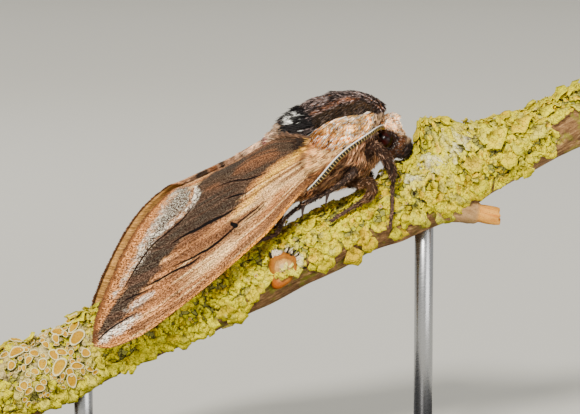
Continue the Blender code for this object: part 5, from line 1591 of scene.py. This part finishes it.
def insideLoft(points, title, grow=0.0):
    # which points lie inside one of the body's lofted parts
    part = body[title]
    stations = part["stations"]
    half, top, bottom, waist = valuesAlong(stations, points[:, 0]).T
    inset = part["inset"] - grow
    tall = np.where(points[:, 2] > waist, top - inset - waist, waist - bottom - inset)
    low, high = sorted((stations[0][0], stations[-1][0]))
    within = (points[:, 0] > low) & (points[:, 0] < high)
    return within & ((points[:, 1] / (half - inset)) ** 2 + ((points[:, 2] - waist) / tall) ** 2 < 1)


def underWing(points):
    # how far a place lies under the folded forewing, in millimetres, or -9 where no wing is above it
    u, y, w = points.T
    profile = np.array(roof["profile"])
    lengths = runLengths(profile)
    lengths -= lengths[roof["crestPoint"]]
    out = np.abs(y) - roof["spread"] * smoothStep(0.0, 8.0, u)
    q = np.interp(out, profile[:, 0], lengths)
    inner, costa = np.array(forewing["inner"])[::-1], np.array(forewing["costa"])[::-1]
    near = (q > np.interp(u, inner[:, 0], inner[:, 1])) & (q < np.interp(u, costa[:, 0], costa[:, 1])
                                                           + 0.5) & (u < 9.0)
    crest = np.where(y < 0, roof["ridge"][-1], roof["ridge"][1])
    height = crest + roof["lift"] * np.clip(u + 5.0, 0, None) - np.interp(out, profile[:, 0], profile[:, 1])
    return np.where(near, height - w, -9.0)


def hairLook(name, roughness, specular=0.1):
    look = Look(name, roughness, specular=specular)
    look.shader.inputs["Sheen Weight"].default_value = 0.05
    fine = look.noise(look.millimetres(), 4.0, 2.0, 0.7)
    base = look.painted("coat")
    base = look.mixed(look.ramp(fine, 0.55, 0.4, 0.0, 0.3), base,
                      look.mixed(0.6, base, coatMarks["tones"]["shadow"]))
    return look.finish(base, look.bump(fine, 0.4, 0.00008))


def coverThorax(chance):
    # the back and flanks, the tuft at the rear that stands over the wings, and the shaggy underside
    grid = loftGrid(body["thorax"])
    groups = {"back": [], "rear": [], "under": []}
    for title in groups:
        kind = coat[title]
        def weight(places, title=title):
            u, _, w = np.moveaxis(places, -1, 0)
            rear = smoothStep(9.3, 8.3, u) * (w > 9.8)
            low = (w < 5.6) * 1.0
            return {"rear": rear, "under": low, "back": (1 - rear) * (1 - low)}[title] + 1e-9
        root, out, place = scatter(grid, int(kind[0] * coat["areas"][title]), chance, weight)
        out = outwards(root, out, np.column_stack([root[:, 0], 0 * root[:, 0], np.full(len(root), 6.0)]))
        under = underWing(root)
        keep = ~insideLoft(root, "head", 0.1) & ~((under > -0.35) & (under < 0.6) & (root[:, 0] < 8.6))
        root, out, place, under = root[keep], out[keep], place[keep], under[keep]
        u, y, w = root.T
        lie = np.tile((-1.0, 0.0, 0.0), (len(root), 1))
        if title == "back":
            lie[:, 2] = -0.55 * smoothStep(12.6, 10.5, w)
            lie[:, 1] = 0.12 * np.sign(y)
        elif title == "rear":
            lie[:, 2] = 0.25
        else:
            lie[:, 2] = -0.35 - 0.6 * smoothStep(12.5, 14.5, u)
        lengths = np.ones(len(root))
        if title == "rear":
            lengths = 0.55 + 0.45 * smoothStep(3.0, 5.5, u)
        if title == "back":
            lengths = 0.62 + 0.38 * smoothStep(19.5, 15.0, u)
        if title == "under":
            lengths = 0.85 + 0.15 * smoothStep(15.5, 12.0, u)
        lengths = np.where(under > 0, np.minimum(lengths, 0.25), lengths)
        points = growTufts(root, out, lie, kind, chance, lengths)
        middles = points[:, 3:6].mean(1)
        shade = uneven(chance, root) * (1 + 0.25 * latticeNoise(root, 1.0, 151))
        c = coatMarks["tones"]
        others = {"back": ((0.2, 0.7, c["hair"]), (0.28, 0.8, c["black"]), (0.04, 0.6, c["rust"])),
                  "rear": ((0.015, 0.85, c["white"]), (0.4, 0.85, c["black"])),
                  "under": ((0.3, 0.8, c["underPale"]), (0.26, 0.8, c["shade"]),
                            (0.08, 0.5, c["rust"]))}[title]
        plain = coatTones(middles)
        smooth = np.zeros(len(middles))
        for mark, share in (("flank", 1.0), ("nape", 0.4), ("ridge", 1.0)):
            smooth = np.maximum(smooth, share * field(middles[:, (0, 2)], coatMarks[mark], 0.3))
        for spotU, spotW, size in coatMarks["spots"]:
            near = smoothStep(size, size * 0.6, np.hypot(middles[:, 0] - spotU, middles[:, 2] - spotW))
            smooth = np.maximum(smooth, near * (chance.uniform(0, 1, len(near)) < 0.72))
        tones = blendTones(flecked(plain, chance, others), [(0.8 * smooth, plain)]) * shade[:, None]
        groups[title].append((points, tones, place))
    return groups


def coverHead(chance):
    kind = coat["head"]
    root, out, place = scatter(loftGrid(body["head"]), int(kind[0] * coat["areas"]["head"]), chance)
    out = outwards(root, out, np.array((19.0, 0.0, 3.4)) + 0 * root)
    gap = np.linalg.norm(root * (1, 0, 1) + np.abs(root) * (0, 1, 0) - np.array(eye["centre"]), axis=1)
    keep = ~insideLoft(root, "thorax", -0.1) & (gap > eye["radius"] * 1.02)
    root, out, place, gap = root[keep], out[keep], place[keep], gap[keep]
    u, y, w = root.T
    ahead = smoothStep(18.4, 20.8, u)
    lie = np.column_stack([0.5 - 0.9 * (w > 5.4), 0.25 * np.sign(y), -0.9 * ahead - 0.1])
    top = smoothStep(5.0, 6.2, w)
    lie = lie * (1 - top[:, None]) + top[:, None] * np.column_stack([0.75 + 0 * u, 0 * u, 0 * u])
    lengths = 0.55 + 0.5 * top
    lengths = lengths * (0.4 + 0.6 * smoothStep(eye["radius"], eye["radius"] + 1.0, gap))
    points = growTufts(root, out, lie, kind, chance, lengths)
    c = coatMarks["tones"]
    middles = points[:, 3:6].mean(1)
    plain, plush = coatTones(middles), field(middles[:, (0, 2)], coatMarks["headTop"], 0.3)
    tones = flecked(plain, chance, ((0.2, 0.85, c["white"]), (0.14, 0.7, c["tegulaWarm"]),
                                    (0.18, 0.7, c["shade"])))
    tones = blendTones(tones, [(0.8 * (1 - plush), plain)])
    return [(points, tones * uneven(chance, root, 1.2)[:, None], place)]


def coverAbdomen(chance):
    kind = coat["abdomen"]
    root, out, place = scatter(loftGrid(body["abdomen"]), int(kind[0] * coat["areas"]["abdomen"]), chance)
    out = outwards(root, out, np.column_stack([root[:, 0], 0 * root[:, 0], np.full(len(root), 4.6)]))
    keep = ~insideLoft(root, "thorax")
    root, out, place = root[keep], out[keep], place[keep]
    lie = np.tile((-1.0, 0.0, 0.0), (len(root), 1))
    points = growTufts(root, out, lie, kind, chance)
    shade = chance.uniform(0.8, 1.15, len(root))
    return [(points, coatTones(points[:, 3:6].mean(1)) * shade[:, None], place)]


def coverTegulae(chance):
    kind = coat["tegula"]
    groups = []
    for number, side in enumerate(sides):
        grid = tegulaGrid(side)
        root, out, place = scatter(grid, int(kind[0] * coat["areas"]["tegula"]), chance, closed=False)
        out = outwards(root, out, np.column_stack([root[:, 0], 0 * root[:, 0], np.full(len(root), 6.0)]))
        lie = np.column_stack([-1.0 + 0 * root[:, 0], 0.1 * side + 0 * root[:, 0], -0.4 + 0 * root[:, 0]])
        rear = smoothStep(0.5, 0.05, place[:, 0])
        rim = smoothStep(0.8, 1.0, np.abs(place[:, 1] * 2 - 1))
        points = growTufts(root, out, lie, kind, chance, 0.75 + 0.3 * rim + 1.0 * rear)
        shade = uneven(chance, root, 1.1) * (1.05 + 0.2 * latticeNoise(root, 0.8, 155))
        c = coatMarks["tones"]
        tones = flecked(coatTones(points[:, 3:6].mean(1), tegulaTones), chance,
                        ((0.24, 0.85, c["white"]), (0.2, 0.85, c["tegulaWarm"]),
                         (0.09, 0.85, c["shade"]))) * shade[:, None]
        groups.append((points, tones, place * (1, 0.5) + (0, 0.5 * number)))
    return groups


def coverPalps(chance):
    kind = coat["palp"]
    groups = []
    for number, side in enumerate(sides):
        rings, _ = tubeRings(palpCurve(side, body["palpInset"]), 24)
        root, out, place = scatter(rings, int(kind[0] * coat["areas"]["palp"]), chance)
        line = palpCurve(side, 0)[:, :3]
        nearest = np.linalg.norm(root[:, None] - line[None], axis=2).argmin(1)
        out = outwards(root, out, line[nearest])
        keep = ~insideLoft(root, "head", 0.05)
        root, out, place, nearest = root[keep], out[keep], place[keep], nearest[keep]
        lie = np.gradient(line, axis=0)[nearest]
        lie = unit(lie)
        points = growTufts(root, out, lie, kind, chance)
        shade = uneven(chance, root)
        tones = coatTones(points[:, 3:6].mean(1), palpTones) * shade[:, None]
        groups.append((points, tones, place * (1, 0.5) + (0, 0.5 * number)))
    return groups


def coverWings(chance):
    # hair over each forewing's root and along its inner margin, and a fringe of scales past its outer edge
    groups = {"root": [], "margin": [], "fringe": []}
    for number, (side, word) in enumerate(sides.items()):
        grid, tones = wingGrids[f"forewing_{word}"]
        rows, stations = grid.shape[:2]
        t, s = np.meshgrid(np.linspace(0, 1, rows - 1), np.linspace(0, 1, stations - 1), indexing="ij")
        covers = {"root": (smoothStep(0.2, 0.02, s) * (s > 0.004), coat["wingRoot"]),
                  "margin": (smoothStep(0.955, 1.0, t) * smoothStep(0.0, 0.06, s) * smoothStep(0.995, 0.8, s),
                             coat["margin"]),
                  "fringe": (smoothStep(0.985, 1.0, s) * (t > 0.01), coat["fringe"])}
        for title, (weight, kind) in covers.items():
            root, out, place = scatter(grid, kind[0], chance, lambda places, weight=weight: weight,
                                       closed=False)
            out = outwards(root, out, np.column_stack([root[:, 0], 0 * root[:, 0], 0 * root[:, 0]]))
            i = np.minimum((place[:, 0] * (rows - 1)).astype(int), rows - 2)
            j = np.minimum((place[:, 1] * (stations - 1)).astype(int), stations - 2)
            lie = grid[i, j + 1] - grid[i, j]
            lie = unit(lie)
            size = 1.0
            if title == "root":
                size = 0.45 + 0.75 * smoothStep(0.2, 0.03, place[:, 1])
            if title == "margin":
                inward = grid[i + 1, j] - grid[i, j]
                inward = unit(inward)
                lie = lie + 0.35 * inward
                size = 0.5 + 0.5 * smoothStep(-9.0, 2.0, root[:, 0])
            points = growTufts(root, out, lie, kind, chance, size)
            shade = uneven(chance, root, 0.9)
            hair = tones[i, j] * shade[:, None]
            if title == "margin":
                spots = [(0.9 * cover, marks["tones"][spot]) for cover, spot in ridgeSpots(root[:, 0])]
                plain = blendTones(coatMarks["tones"]["ridge"],
                                   [(0.85 * smoothStep(1.5, 3.5, root[:, 0]), marks["tones"]["brown"]),
                                    (0.75 * smoothStep(-2.8, -4.5, root[:, 0]), marks["tones"]["shade"])])
                hair = blendTones(plain, spots) * shade[:, None]
            if title == "fringe":
                hair = blendTones(hair, [(0.6 + 0 * shade, marks["tones"]["brown"])])
            groups[title].append((points, hair, place * (1, 0.5) + (0, 0.5 * number)))
    return groups


def makeEyes():
    # a ball with a fine net of facets in its surface
    look = Look("eye", 0.3, specular=0.12)
    look.shader.inputs["Coat Weight"].default_value = 0.1
    look.shader.inputs["Coat Roughness"].default_value = 0.05
    facets = look.add("ShaderNodeTexVoronoi", {"Vector": look.millimetres(),
                                               "Scale": 9.0}).outputs["Distance"]
    shimmer = look.noise(look.millimetres(), 1.1, 2.0, 0.5)
    base = look.mixed(look.ramp(shimmer, 0.4, 0.65), eye["tones"]["ball"], eye["tones"]["shimmer"])
    material = look.finish(base, look.bump(facets, 0.25, 0.00002))
    for side, word in sides.items():
        rise = np.linspace(-1, 1, eye["rings"] + 2)[1:-1] * math.pi / 2
        turn = turns(eye["around"])
        centre = np.array(eye["centre"]) * (1, side, 1)
        r = eye["radius"]
        grid = centre + r * np.stack([np.cos(rise)[:, None] * np.cos(turn),
                                      np.cos(rise)[:, None] * np.sin(turn),
                                      np.sin(rise)[:, None] + 0 * turn], -1)
        points, faces = closedTube(grid, centre - (0, 0, r), centre + (0, 0, r))
        settle(makePiece(f"eye_{word}", points, faces, material), "eye", f"eye_{word}")


feeler = {
    "path": ((18.6, 1.7, 5.45, 0.42), (18.2, 3.3, 5.95, 0.3), (17.2, 5.1, 6.2, 0.28), (15.7, 6.9, 6.15, 0.32),
             (13.9, 8.0, 6.0, 0.37), (12.0, 8.45, 5.7, 0.41), (10.0, 8.65, 5.15, 0.44), (8.2, 8.7, 4.4, 0.46),
             (6.4, 8.6, 3.55, 0.42), (4.7, 8.5, 2.85, 0.33), (3.5, 8.45, 2.5, 0.17)),
    "segments": 37, "perSegment": 11, "around": 28, "squash": 0.8, "tooth": 0.13,
    "tones": {"top": tone(255, 253, 250), "ridge": tone(190, 166, 122), "groove": tone(5, 4, 4),
              "edge": tone(196, 156, 92), "dust": tone(120, 100, 88)},
}


def makeFeelers():
    # a spindle of short segments: each swells into a ridge across its underside, with a groove between
    look = Look("antenna_scales", 0.6, specular=0.3)
    fine = look.noise(look.millimetres(), 7.0, 2.0, 0.7)
    base = look.mixed(look.ramp(fine, 0.5, 0.7, 0.0, 0.16), look.painted("scales"), feeler["tones"]["dust"])
    material = look.finish(base, look.bump(fine, 0.3, 0.00005))
    count = feeler["segments"] * feeler["perSegment"]
    for side, word in sides.items():
        curve = curveThrough(np.array(feeler["path"]) * (1, side, 1, 1), count)
        phase = np.linspace(0, feeler["segments"], count) % 1.0
        shaft = smoothStep(0.06, 0.16, np.linspace(0, 1, count)) * smoothStep(1.0, 0.93,
                np.linspace(0, 1, count))
        curve[:, 3] *= 1 - 0.1 * shaft
        rings, ring = tubeRings(curve, feeler["around"], feeler["squash"])
        angle = turns(feeler["around"])
        below = smoothStep(0.66, 0.5, np.sin(angle))
        ridge = np.sin(math.pi * phase) ** 1.5
        rings = rings + (feeler["tooth"] * (ridge * shaft)[:, None] * below)[..., None] * ring
        rings = rings - (0.04 * ((1 - ridge) * shaft)[:, None] * (1 - below))[..., None] * ring
        tones = feeler["tones"]
        cover = below[None, :] + 0 * ridge[:, None]
        shade = smoothStep(0.9, 0.99, ridge)[:, None] * smoothStep(0.4, 0.9, cover)
        under = tones["groove"] + shade[..., None] * (tones["ridge"] - tones["groove"])
        rim = smoothStep(-0.82, -0.93, np.sin(angle))[None, :, None] * (0.5 + 0.5 * ridge[:, None, None])
        under = under + rim * (tones["edge"] - under)
        scales = tones["top"] + cover[..., None] * (under - tones["top"])
        scales = scales.reshape(-1, 3)
        tip = curve[-1, :3] + (curve[-1, :3] - curve[-4, :3]) * 2.0
        points, faces = closedTube(rings, curve[0, :3], tip)
        scales = np.concatenate([scales, [tones["top"], tones["top"]]])
        settle(makePiece(f"antenna_{word}", points, faces, material, {"scales": scales}), "antenna",
               f"antenna_{word}")


limbs = {
    # on the thigh and on the foot
    "coatDepth": {"fore": (0.26, 0.05), "mid": (0.24, 0.05), "hind": (0.12, 0.04)},
    "around": 18, "rings": 150, "tarsi": 5, "claw": (0.55, 0.09), "spine": (0.32, 0.045),
    "spurs": (((6.4, 5.55, 0.5), (5.0, 5.75, -1.4)), ((6.4, 5.35, 0.5), (5.3, 5.2, -1.1)),
              ((2.0, 5.0, 0.2), (0.9, 5.2, -1.7)), ((2.0, 4.9, 0.1), (1.2, 4.7, -1.3))),
    "spurRadius": 0.3,
    "tones": {"fore": tone(54, 36, 27), "mid": tone(84, 60, 42), "hind": tone(48, 34, 27),
              "foot": tone(80, 59, 50),
              "claw": tone(40, 26, 20), "pale": tone(186, 156, 136), "joint": tone(36, 25, 20)},
}


def legCurve(title, side):
    # the leg's path, then its foot laid on the branch, as (u, y, w, radius)
    leg = legs[title]
    step = 0.0 if side < 0 else moth["farStep"]
    path = [(u + step, side * out, w, radius) for u, out, w, radius in leg["path"]]
    for u, degrees, radius in leg["foot"]:
        x, y, z = onBranch(u + step, -side * degrees, legs["footLift"] + radius, perchRadius)
        path.append((x, y, z, radius))
    return curveThrough(path, limbs["rings"])


def cone(root, tip, radius, around=6, bend=0.0, toward=(0.0, 0.0, -1.0)):
    # a thin tapering spine whose middle line bows by the bend
    root, tip, toward = np.array(root, float), np.array(tip, float), np.array(toward, float)
    t = np.linspace(0, 1, 6)
    line = root + t[:, None] * (tip - root) + bend * np.sin(math.pi * t)[:, None] * toward
    radii = radius * (1 - 0.85 * t ** 1.4)
    rings, _ = tubeRings(np.column_stack([line, radii]), around)
    return closedTube(rings, root, tip + (tip - line[-2]) * 0.3)


def makeLegs(look, furLook, chance):
    # each leg is a round tube in segments: thigh and shin, then five short ones, each widest at its far end
    furGroups, number = [], 0
    for title in ("fore", "mid", "hind"):
        for side, word in sides.items():
            curve = legCurve(title, side)
            lengths = runLengths(curve[:, :3])
            lengths /= lengths[-1]
            x, y, z = onBranch(legs[title]["foot"][0][0], legs[title]["foot"][0][1], 0.5, perchRadius)
            first = np.linalg.norm(curve[:, (0, 2)] - (x + (0 if side < 0 else moth["farStep"]), z),
                                   axis=1).argmin()
            start = lengths[first] - 0.06
            foot = smoothStep(start - 0.03, start + 0.03, lengths)
            deep, thin = limbs["coatDepth"][title]
            curve[:, 3] -= deep * (1 - foot) + thin * foot
            tarsal = np.clip((lengths - start) / (1 - start), 0, 0.999) * limbs["tarsi"]
            curve[:, 3] *= 1 + foot * (0.16 * (tarsal % 1.0) ** 2 - 0.1 - 0.16
                                       * np.exp(-((tarsal % 1.0) / 0.12) ** 2))
            rings, ring = tubeRings(curve, limbs["around"])
            tip = curve[-1, :3] + (curve[-1, :3] - curve[-3, :3])
            shapes = [closedTube(rings, curve[0, :3], tip)]
            tones = limbs["tones"]
            base = blendTones(np.tile(tones[title], (len(curve), 1)),
                              [(foot, tones["foot"]), (foot * np.exp(-((tarsal % 1.0) / 0.14) ** 2),
                                                       tones["joint"])])
            colours = [np.concatenate([np.repeat(base, limbs["around"], 0), [base[0], base[-1]]])]
            ahead = curve[-1, :3] - curve[-4, :3]
            ahead /= np.linalg.norm(ahead)
            down = np.array([0.0, -curve[-1, 1], axisHeight(curve[-1, 0]) - curve[-1, 2]])
            down /= np.linalg.norm(down)
            across = np.cross(ahead, down)
            long, thick = limbs["claw"]
            for way in (-1, 1):
                root = curve[-1, :3] + across * way * 0.08
                shapes.append(cone(root, root + ahead * long * 0.8 + across * way * long * 0.5 + down * long
                                   * 0.45,
                                   thick, bend=-0.12, toward=down))
                colours.append(np.tile(tones["claw"], (len(shapes[-1][0]), 1)))
            for joint in range(1, limbs["tarsi"] + 1):
                at = min(np.abs(lengths - (start + (1 - start) * joint / limbs["tarsi"])).argmin(),
                         len(curve) - 3)
                along = curve[at, :3] - curve[at - 2, :3]
                along /= np.linalg.norm(along)
                for turn in (4, 9, 13, 16):
                    root = rings[at - 2, turn]
                    way = along * 0.85 + ring[at - 2, turn] * 0.5
                    shapes.append(cone(root, root + way * limbs["spine"][0], limbs["spine"][1], around=5))
                    colours.append(np.tile(tones["claw"], (len(shapes[-1][0]), 1)))
            if title == "hind":
                step = 0.0 if side < 0 else moth["farStep"]
                for spur in limbs["spurs"]:
                    root, end = (np.array([u + step, side * out, w]) for u, out, w in spur)
                    shapes.append(cone(root, end, limbs["spurRadius"], around=10, bend=0.12,
                                       toward=(-1, 0, 0)))
                    colours.append(np.tile(tones["hind"], (len(shapes[-1][0]), 1)))
            points, faces, begin = [], {3: [], 4: []}, 0
            for shapePoints, faceSets in shapes:
                for faceSet in faceSets:
                    faces[faceSet.shape[1]].append(faceSet + begin)
                points.append(shapePoints)
                begin += len(shapePoints)
            obj = makePiece(f"leg_{title}_{word}", np.concatenate(points),
                            [np.concatenate(faces[4]), np.concatenate(faces[3])], look,
                            {"coat": np.concatenate(colours)})
            settle(obj, "leg_fur", f"leg_{title}_{word}")

            kind = coat["leg"]
            area = 2 * math.pi * (curve[:-1, 3] * np.linalg.norm(np.diff(curve[:, :3], axis=0), axis=1)).sum()
            root, out, place = scatter(rings, int(kind[0] * area), chance)
            nearest = np.minimum((place[:, 0] * (len(curve) - 1)).astype(int), len(curve) - 2)
            out = outwards(root, out, curve[nearest, :3])
            keep = ~insideLoft(root, "thorax") & ~insideLoft(root, "head")
            root, out, place, nearest = root[keep], out[keep], place[keep], nearest[keep]
            lie = curve[nearest + 1, :3] - curve[nearest, :3]
            lie = unit(lie)
            shaggy = {"fore": 1.0, "mid": 0.95, "hind": 0.5}[title]
            size = (1 - foot[nearest]) * shaggy + foot[nearest] * 0.32
            tufts = growTufts(root, out, lie, kind, chance, size)
            shade = uneven(chance, root, 1.2)
            hair = flecked(base[nearest], chance, ((0.22, 0.55, tones["pale"]), (0.25, 0.6, tones["joint"])))
            furGroups.append((tufts, hair * shade[:, None], place * (1, 1 / 6) + (0, number / 6)))
            number += 1
    makeCoat("coat_legs", furLook, "leg_fur", furGroups)


# Stand

stand = {
    "base": (94.0, 46.0, 5.0), "corner": 7.0, "bevel": 0.8,
    "rodRadius": 1.5, "rodSink": 3.0, "gap": 0.32, "rods": {"left": -33.0, "right": 21.5},
    "chamfer": 0.15, "overlap": 1.2,    # of the rods' ends, and how far they reach into the bark
    "around": 64, "cornerPoints": 17, "edgePoints": 7, "sharpAngle": math.radians(40),
    "tones": {"paint": tone(48, 48, 50), "steel": tone(176, 177, 180)},
}


def makeStand():
    # a flat plate with rounded corners, each edge a quarter circle, and round rods that reach up
    # into the bark
    tones = stand["tones"]
    coated = Look("stand_paint", 0.42, specular=0.4)
    grain = coated.noise(coated.millimetres(), 3.0, 3.0, 0.6)
    plate = coated.finish(tones["paint"], coated.bump(grain, 0.15, 0.00004),
                          coated.ramp(grain, 0.3, 0.7, 0.36, 0.5))
    steel = Look("stand_steel", 0.28, metallic=1.0, specular=0.5)
    brushed = steel.noise(steel.millimetres((0.3, 0.3, 6.0)), 2.0, 3.0, 0.6)
    rodLook = steel.finish(tones["steel"], steel.bump(brushed, 0.2, 0.00002),
                           steel.ramp(brushed, 0.3, 0.7, 0.22, 0.34))

    length, depth, height = stand["base"]
    corner, bevel = stand["corner"], stand["bevel"]
    turn = np.linspace(0, math.pi / 2, stand["cornerPoints"])
    outline, middles = [], []
    for k, (sx, sy) in enumerate(((1, 1), (-1, 1), (-1, -1), (1, -1))):
        middles.append(np.tile((sx * (length / 2 - corner), sy * (depth / 2 - corner)), (len(turn), 1)))
        outline.append(np.column_stack([np.cos(turn + k * math.pi / 2), np.sin(turn + k * math.pi / 2)]))
    middles, outline = np.concatenate(middles), np.concatenate(outline)
    arc = np.linspace(0, math.pi / 2, stand["edgePoints"])
    levels = [(corner - bevel + bevel * math.sin(a), bevel - bevel * math.cos(a)) for a in arc]
    levels += [(corner - bevel + bevel * math.cos(a), height - bevel + bevel * math.sin(a)) for a in arc]
    levels = [(levels[0][0] - 0.3, 0.0), *levels, (levels[-1][0] - 0.3, height)]
    rings = np.array([np.column_stack([middles + reach * outline, np.full(len(outline), z)]) for reach,
                      z in levels])
    points, faces = closedTube(rings, (0, 0, 0), (0, 0, height))
    base = makePiece("stand_base", points, faces, plate, level=True)
    for x in stand["rods"].values():
        hole = roundRod("hole", x, height - stand["rodSink"] - stand["gap"], height + 2,
                        stand["rodRadius"] + stand["gap"], plate)
        cut = base.modifiers.new("socket", "BOOLEAN")
        cut.operation, cut.object, cut.solver = "DIFFERENCE", hole, "EXACT"
        bpy.context.view_layer.update()
        shape = bpy.data.meshes.new_from_object(base.evaluated_get(bpy.context.evaluated_depsgraph_get()))
        base.modifiers.clear()
        base.data = shape
        shape.set_sharp_from_angle(angle=stand["sharpAngle"])
        bpy.data.objects.remove(hole, do_unlink=True)
    settle(base, "stand_paint", "stand_base")
    for word, x in stand["rods"].items():
        run = x / (math.cos(moth["tilt"]) - perch["axisSlope"] * math.sin(moth["tilt"]))
        bark = float(perchRadius(np.array([run]), np.array([180.0]))[0])
        top = moth["height"] + run * math.sin(moth["tilt"]) + (axisHeight(run) - bark
                                                               + stand["overlap"]) * math.cos(moth["tilt"])
        rod = roundRod(f"stand_rod_{word}", x, height - stand["rodSink"], top, stand["rodRadius"], rodLook)
        settle(rod, "stand_steel", f"stand_rod_{word}")


def roundRod(name, x, low, high, radius, look):
    turn, chamfer = turns(stand["around"]), stand["chamfer"]
    levels = [(0.0, radius - chamfer), (chamfer, radius), (high - low - chamfer, radius),
              (high - low, radius - chamfer)]
    rings = np.array([np.column_stack([x + r * np.cos(turn), r * np.sin(turn), np.full(len(turn), low + z)])
                      for z, r in levels])
    points, faces = closedTube(rings, (x, 0, low), (x, 0, high))
    return makePiece(name, points, faces, look, level=True)


fur = hairLook("fur", 0.75)
makeSkin(hairLook("skin", 0.85))
print("skin joined")
chance = np.random.default_rng(coat["seed"])
thoraxCoat = coverThorax(chance)
makeCoat("coat_back", fur, "thorax_fur", thoraxCoat["back"])
makeCoat("coat_rear", fur, "thorax_fur", thoraxCoat["rear"])
makeCoat("coat_underside", fur, "thorax_fur", thoraxCoat["under"])
makeCoat("coat_head", fur, "head_fur", coverHead(chance))
makeCoat("coat_abdomen", fur, "abdomen_fur", coverAbdomen(chance))
makeCoat("coat_tegulae", fur, "head_fur", coverTegulae(chance))
makeCoat("coat_palps", fur, "palp_fur", coverPalps(chance))
for title, groups in coverWings(chance).items():
    makeCoat(f"coat_wing_{title}", fur, "forewing_scales", groups)
print("coat grown")
makeEyes()
makeFeelers()
makeLegs(hairLook("leg_skin", 0.6, 0.4), fur, chance)
makeStand()
print("eyes, feelers, legs and stand made")
